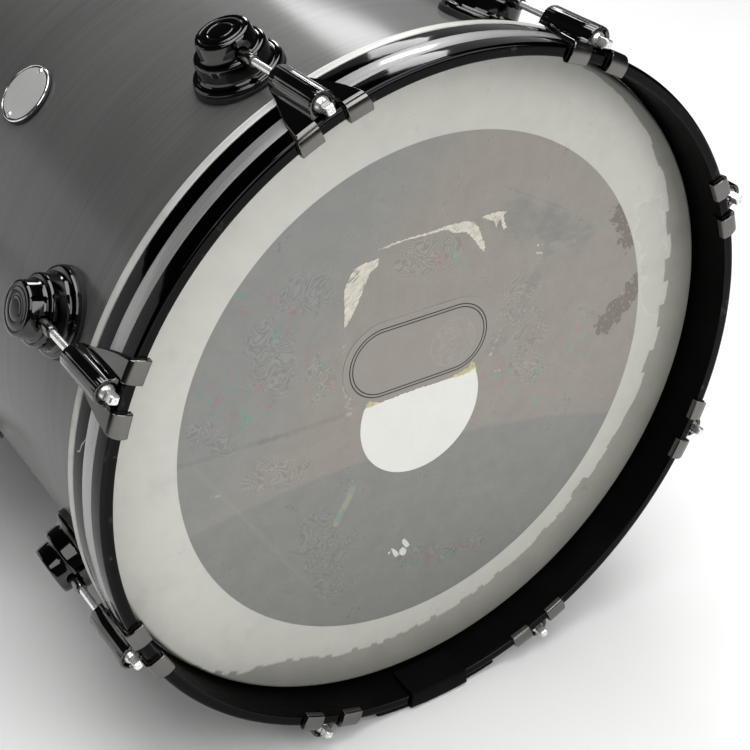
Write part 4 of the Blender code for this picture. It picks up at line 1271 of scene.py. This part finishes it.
# ------------------------------------------------------------------ spurs
def spur(sx, word):
    a = math.radians(SPUR_A)
    fore = Vector((0, 1, 0))
    out = Vector((math.sin(a), 0, math.cos(a)))
    pivot = Vector((0, SPUR_Y, AXIS_Z)) + (SHELL_R + SPUR_OUT) * out
    lean = math.radians(SPUR_SPLAY)
    down = Vector((math.sin(lean), 0, -math.cos(lean)))
    pin = Vector((math.cos(lean), 0, math.sin(lean)))
    fwd = math.radians(SPUR_FWD)
    leg = math.cos(fwd) * down + math.sin(fwd) * fore
    centre = pivot - pin * (EYE_T / 2 + GAP)
    at = Matrix.Diagonal((sx, 1, 1, 1)) if sx < 0 else Matrix.Identity(4)

    def flip(bm):
        bmesh.ops.transform(bm, matrix=at, verts=bm.verts)

    # bracket: rounded foot on the shell swept to the round face of the pivot
    n = 64

    def foot_ring(lift, grow):
        ring = []
        for k in range(n):
            u = TAU * k / n
            c, s = math.cos(u), math.sin(u)
            q = (abs(c) ** 4 + abs(s) ** 4) ** -0.25
            g = a + grow * 0.022 * q * s / SHELL_R
            r = SHELL_R + lift
            ring.append(Vector((r * math.sin(g), SPUR_Y + grow * 0.030 * q * c, AXIS_Z + r * math.cos(g))))
        return ring

    def face_ring(back, r):
        return [centre - back * pin + r * (math.cos(TAU * k / n) * fore + math.sin(TAU * k / n) * down) for k in range(n)]

    mid = Vector((0, SPUR_Y, AXIS_Z)) + (SHELL_R + 0.0011) * out
    collar, neck = foot_ring(0.0066, 0.86), face_ring(0.0060, EYE_R)
    rings = [[mid], foot_ring(0.0011, 0.985), foot_ring(0.0016, 1.0), foot_ring(0.0042, 1.0), foot_ring(0.0056, 0.97),
             foot_ring(0.0062, 0.93), collar]
    for k in range(1, 6):                        # waisted sweep
        t = k / 6
        pull = 0.18 * math.sin(math.pi * t)
        mid_t = mid.lerp(centre - 0.006 * pin, t)
        rings.append([p.lerp(q, t).lerp(mid_t, pull) for p, q in zip(collar, neck)])
    rings += [neck, face_ring(0.0010, EYE_R), face_ring(0.0003, EYE_R - 0.0003), face_ring(0.0, EYE_R - 0.0009),
              face_ring(0.0, 0.0060), [centre]]
    bm = bmesh.new()
    skin(bm, rings)
    flip(bm)
    put(f"spur_bracket_cast_{word}", to_mesh(bm, "spur_bracket", [NICKEL], 30), Matrix.Identity(4), "drum",
        "spur_nickel", f"spur_bracket_{word}")
    bm = bmesh.new()
    skin(bm, [[Vector((0, SPUR_Y, AXIS_Z)) + (SHELL_R + 0.0002) * out], foot_ring(0.0002, 1.02), foot_ring(0.0009, 1.03),
              foot_ring(0.0012, 1.02), [Vector((0, SPUR_Y, AXIS_Z)) + (SHELL_R + 0.0012) * out]])
    flip(bm)
    put(f"spur_gasket_{word}", to_mesh(bm, "spur_gasket", [RUBBER], 30), Matrix.Identity(4), "drum", "guard_rubber")
    for j, (u, v) in enumerate(((1, 1), (1, -1), (-1, 1), (-1, -1))):
        bm = bmesh.new()
        g = a + v * 0.0158 / SHELL_R
        ax = Vector((math.sin(g), 0, math.cos(g)))
        o = Vector((0, SPUR_Y + u * 0.0235, AXIS_Z)) + ax * SHELL_R
        prof = fillet([(0.0, 0.0050), (0.0034, 0.0050), (0.0034, 0.0072), (0.0020, 0.0080), (0.0016, 0.0080),
                       (0.0014, 0.0070), (0.0, 0.0070)], [0, 0, 0.0007, 0.0002, 0.0001, 0.0001, 0], 3, closed=False)
        turned(bm, prof, 24, o, ax, (0, 1, 0))
        flip(bm)
        put(f"spur_screw_{word}_{j + 1}", to_mesh(bm, "spur_screw", [STEEL], 30), Matrix.Identity(4), "drum", "spur_nickel")

    # leg: eye, tube with a stepped collar, and a rubber foot flat on the floor
    reach = pivot.z / -leg.z
    across = pin.cross(leg).normalized()
    bm = bmesh.new()
    eye = fillet([(0.0, -EYE_T / 2), (EYE_R, -EYE_T / 2), (EYE_R, EYE_T / 2), (0.0072, EYE_T / 2),
                  (0.0072, EYE_T / 2 - 0.0012), (0.0, EYE_T / 2 - 0.0012)],
                 [0, 0.0008, 0.0012, 0.0004, 0.0004, 0], 4, closed=False)
    turned(bm, eye, 56, pivot, pin, fore)
    bolt = fillet([(0.0, EYE_T / 2 - 0.0014), (0.0058, EYE_T / 2 - 0.0014), (0.0058, EYE_T / 2 + 0.0012), (0.0044, EYE_T / 2 + 0.0024),
                   (0.0028, EYE_T / 2 + 0.0024), (0.0028, EYE_T / 2 + 0.0006), (0.0, EYE_T / 2 + 0.0006)],
                  [0, 0, 0.0006, 0.0004, 0.0001, 0.0001, 0], 3, closed=False)
    turned(bm, bolt, 36, pivot, pin, fore, 2)
    tube = [(0.0, 0.0060), (0.0061, 0.0060), (0.0061, 0.0190), (0.0078, 0.0285), (0.0080, 0.0300), (0.0080, 0.0480),
            (0.0072, 0.0492), (0.0070, 0.0500), (0.0070, reach - 0.0640), (0.0067, reach - 0.0632), (0.0062, reach - 0.0628),
            (0.0062, reach - 0.0320), (0.0, reach - 0.0320)]
    tube = fillet(tube, [0, 0.0004, 0.002, 0.002, 0.0006, 0.0006, 0.0004, 0.0004, 0.0004, 0.0002, 0.0004, 0, 0], 3, closed=False)
    turned(bm, tube, 40, pivot, leg, across)
    flat_a = Vector((across.x, across.y, 0)).normalized()
    flat_p = Vector((pin.x, pin.y, 0))
    flat_p = (flat_p - flat_p.dot(flat_a) * flat_a).normalized()
    rows = [[pivot + (reach - 0.0325) * leg]]
    for along, r in ((-0.0330, 0.0070), (-0.0331, 0.0088), (-0.0325, 0.0096), (-0.0310, 0.0098), (-0.0290, 0.0093),
                     (-0.0270, 0.0099), (-0.0250, 0.0095), (-0.0230, 0.0103), (-0.0210, 0.0098), (-0.0190, 0.0106),
                     (-0.0150, 0.0108), (-0.0120, FOOT_R)):
        rows.append([pivot + (reach + along) * leg + r * (math.cos(TAU * k / 48) * across + math.sin(TAU * k / 48) * pin)
                     for k in range(48)])
    base = pivot + reach * leg
    rows.append([base + Vector((0, 0, 0.0006)) + 0.0103 * (math.cos(TAU * k / 48) * flat_a + math.sin(TAU * k / 48) * flat_p)
                 for k in range(48)])
    rows.append([base + 0.0096 * (math.cos(TAU * k / 48) * flat_a + math.sin(TAU * k / 48) * flat_p) for k in range(48)])
    rows.append([base])
    skin(bm, rows, True, False, 1)
    flip(bm)
    put(f"spur_leg_tube_{word}", to_mesh(bm, "spur_leg", [NICKEL, RUBBER, STEEL], 30), Matrix.Identity(4),
        f"spur_leg_{word}", "spur_nickel", f"spur_leg_{word}")


spur(1, "right")
spur(-1, "left")


# ------------------------------------------------------------------ stage, light, camera
def floor():
    bm = bmesh.new()
    n, s = 24, 4.0
    skin(bm, [[(-s + 2 * s * i / n, -s + 2 * s * j / n, 0.0) for i in range(n + 1)] for j in range(n + 1)], False)
    f = Nodes("floor_pale", Roughness=0.6)
    co = f.coord()
    far = f.node('ShaderNodeVectorMath', operation='LENGTH')
    f.feed(far.inputs[0], co)
    grain = f.noise(co, 3.0, 4.0, 0.6)
    pale = f.gain((0.88, 0.88, 0.875), f.span(grain, 0.3, 0.7, 0.985, 1.0))
    # far from the drum the floor fades to dark grey: painted shade, so the drum's hardware mirrors a dark room
    f.set("Base Color", f.mix(f.step(far.outputs["Value"], 1.7, 2.9), pale, (0.26, 0.26, 0.26)))
    f.set("Roughness", f.span(grain, 0.3, 0.7, 0.60, 0.72))
    f.set("Specular IOR Level", 0.2)
    mat = f.mat
    o = bpy.data.objects.new("floor", to_mesh(bm, "floor", [mat]))
    bpy.context.scene.collection.objects.link(o)


floor()


def panel(name, place, target, size, power, colour=(1, 1, 1)):
    data = bpy.data.lights.new(name, 'AREA')
    data.shape = 'RECTANGLE'
    data.size, data.size_y = size
    data.energy = power
    data.color = colour
    o = bpy.data.objects.new(name, data)
    bpy.context.scene.collection.objects.link(o)
    o.location = place
    o.rotation_euler = (Vector(target) - Vector(place)).to_track_quat('-Z', 'Y').to_euler()
    return o


def radiant(name, place, target, size, radiance):
    """Panel given by how bright its face is."""
    return panel(name, place, target, size, radiance * math.pi * size[0] * size[1])


def toward(az, el, dist, origin=(0.0, -0.25, 0.45)):
    """Place seen from the drum's top: azimuth from +Y towards +X, and elevation."""
    a, e = math.radians(az), math.radians(el)
    return Vector(origin) + dist * Vector((math.sin(a) * math.cos(e), math.cos(a) * math.cos(e), math.sin(e)))


MID = (0.0, -0.25, 0.45)
radiant("lamp_back", toward(29.5, 28.5, 3.0, (-0.04, -0.28, 0.54)), MID, (0.56, 0.60), 11.6)
radiant("wide_back", toward(31, 17, 3.3, (-0.04, -0.28, 0.54)), MID, (2.0, 2.1), 0.45)
radiant("band_back", toward(-43, 2.8, 3.4), MID, (2.4, 1.16), 1.05)
radiant("soft_over", (0.2, 0.35, 3.4), (0.2, 0.3, 0.0), (2.8, 2.8), 4.6)
radiant("soft_left", (-1.5, -2.0, 3.0), (0.0, -0.2, 0.2), (2.4, 2.4), 2.6)
radiant("soft_right", (1.3, -2.9, 1.9), (0.0, -0.25, 0.25), (2.2, 2.2), 3.7)

world = bpy.data.worlds.new("studio")
bpy.context.scene.world = world
world.use_nodes = True
wt = world.node_tree
bg = wt.nodes["Background"]
geo = wt.nodes.new('ShaderNodeTexCoord')
sep = wt.nodes.new('ShaderNodeSeparateXYZ')
wt.links.new(geo.outputs["Generated"], sep.inputs[0])
ramp = wt.nodes.new('ShaderNodeValToRGB')
wt.links.new(sep.outputs[2], ramp.inputs[0])
ramp.color_ramp.elements[0].position = 0.0
ramp.color_ramp.elements[0].color = (0.05, 0.05, 0.05, 1)
ramp.color_ramp.elements[1].position = 0.8
ramp.color_ramp.elements[1].color = (0.02, 0.02, 0.02, 1)
wt.links.new(ramp.outputs[0], bg.inputs[0])
bg.inputs[1].default_value = 1.0

cam = bpy.data.cameras.new("camera")
cam.sensor_width = 36.0
cam.lens = 36.0 * 1481.476 / 750.0
cam.clip_start, cam.clip_end = 0.05, 40.0
view = bpy.data.objects.new("camera", cam)
bpy.context.scene.collection.objects.link(view)
right = Vector((0.833609, -0.552034, 0.018811))
down = Vector((-0.285976, -0.460479, -0.840343))
ahead = Vector((0.472561, 0.695138, -0.541728))
view.matrix_world = Matrix.Translation((-0.533669, -0.972515, 0.865390)) @ Matrix((right, -down, -ahead)).transposed().to_4x4()
bpy.context.scene.camera = view
bpy.context.scene.view_settings.view_transform = 'Standard'

bpy.context.view_layer.update()
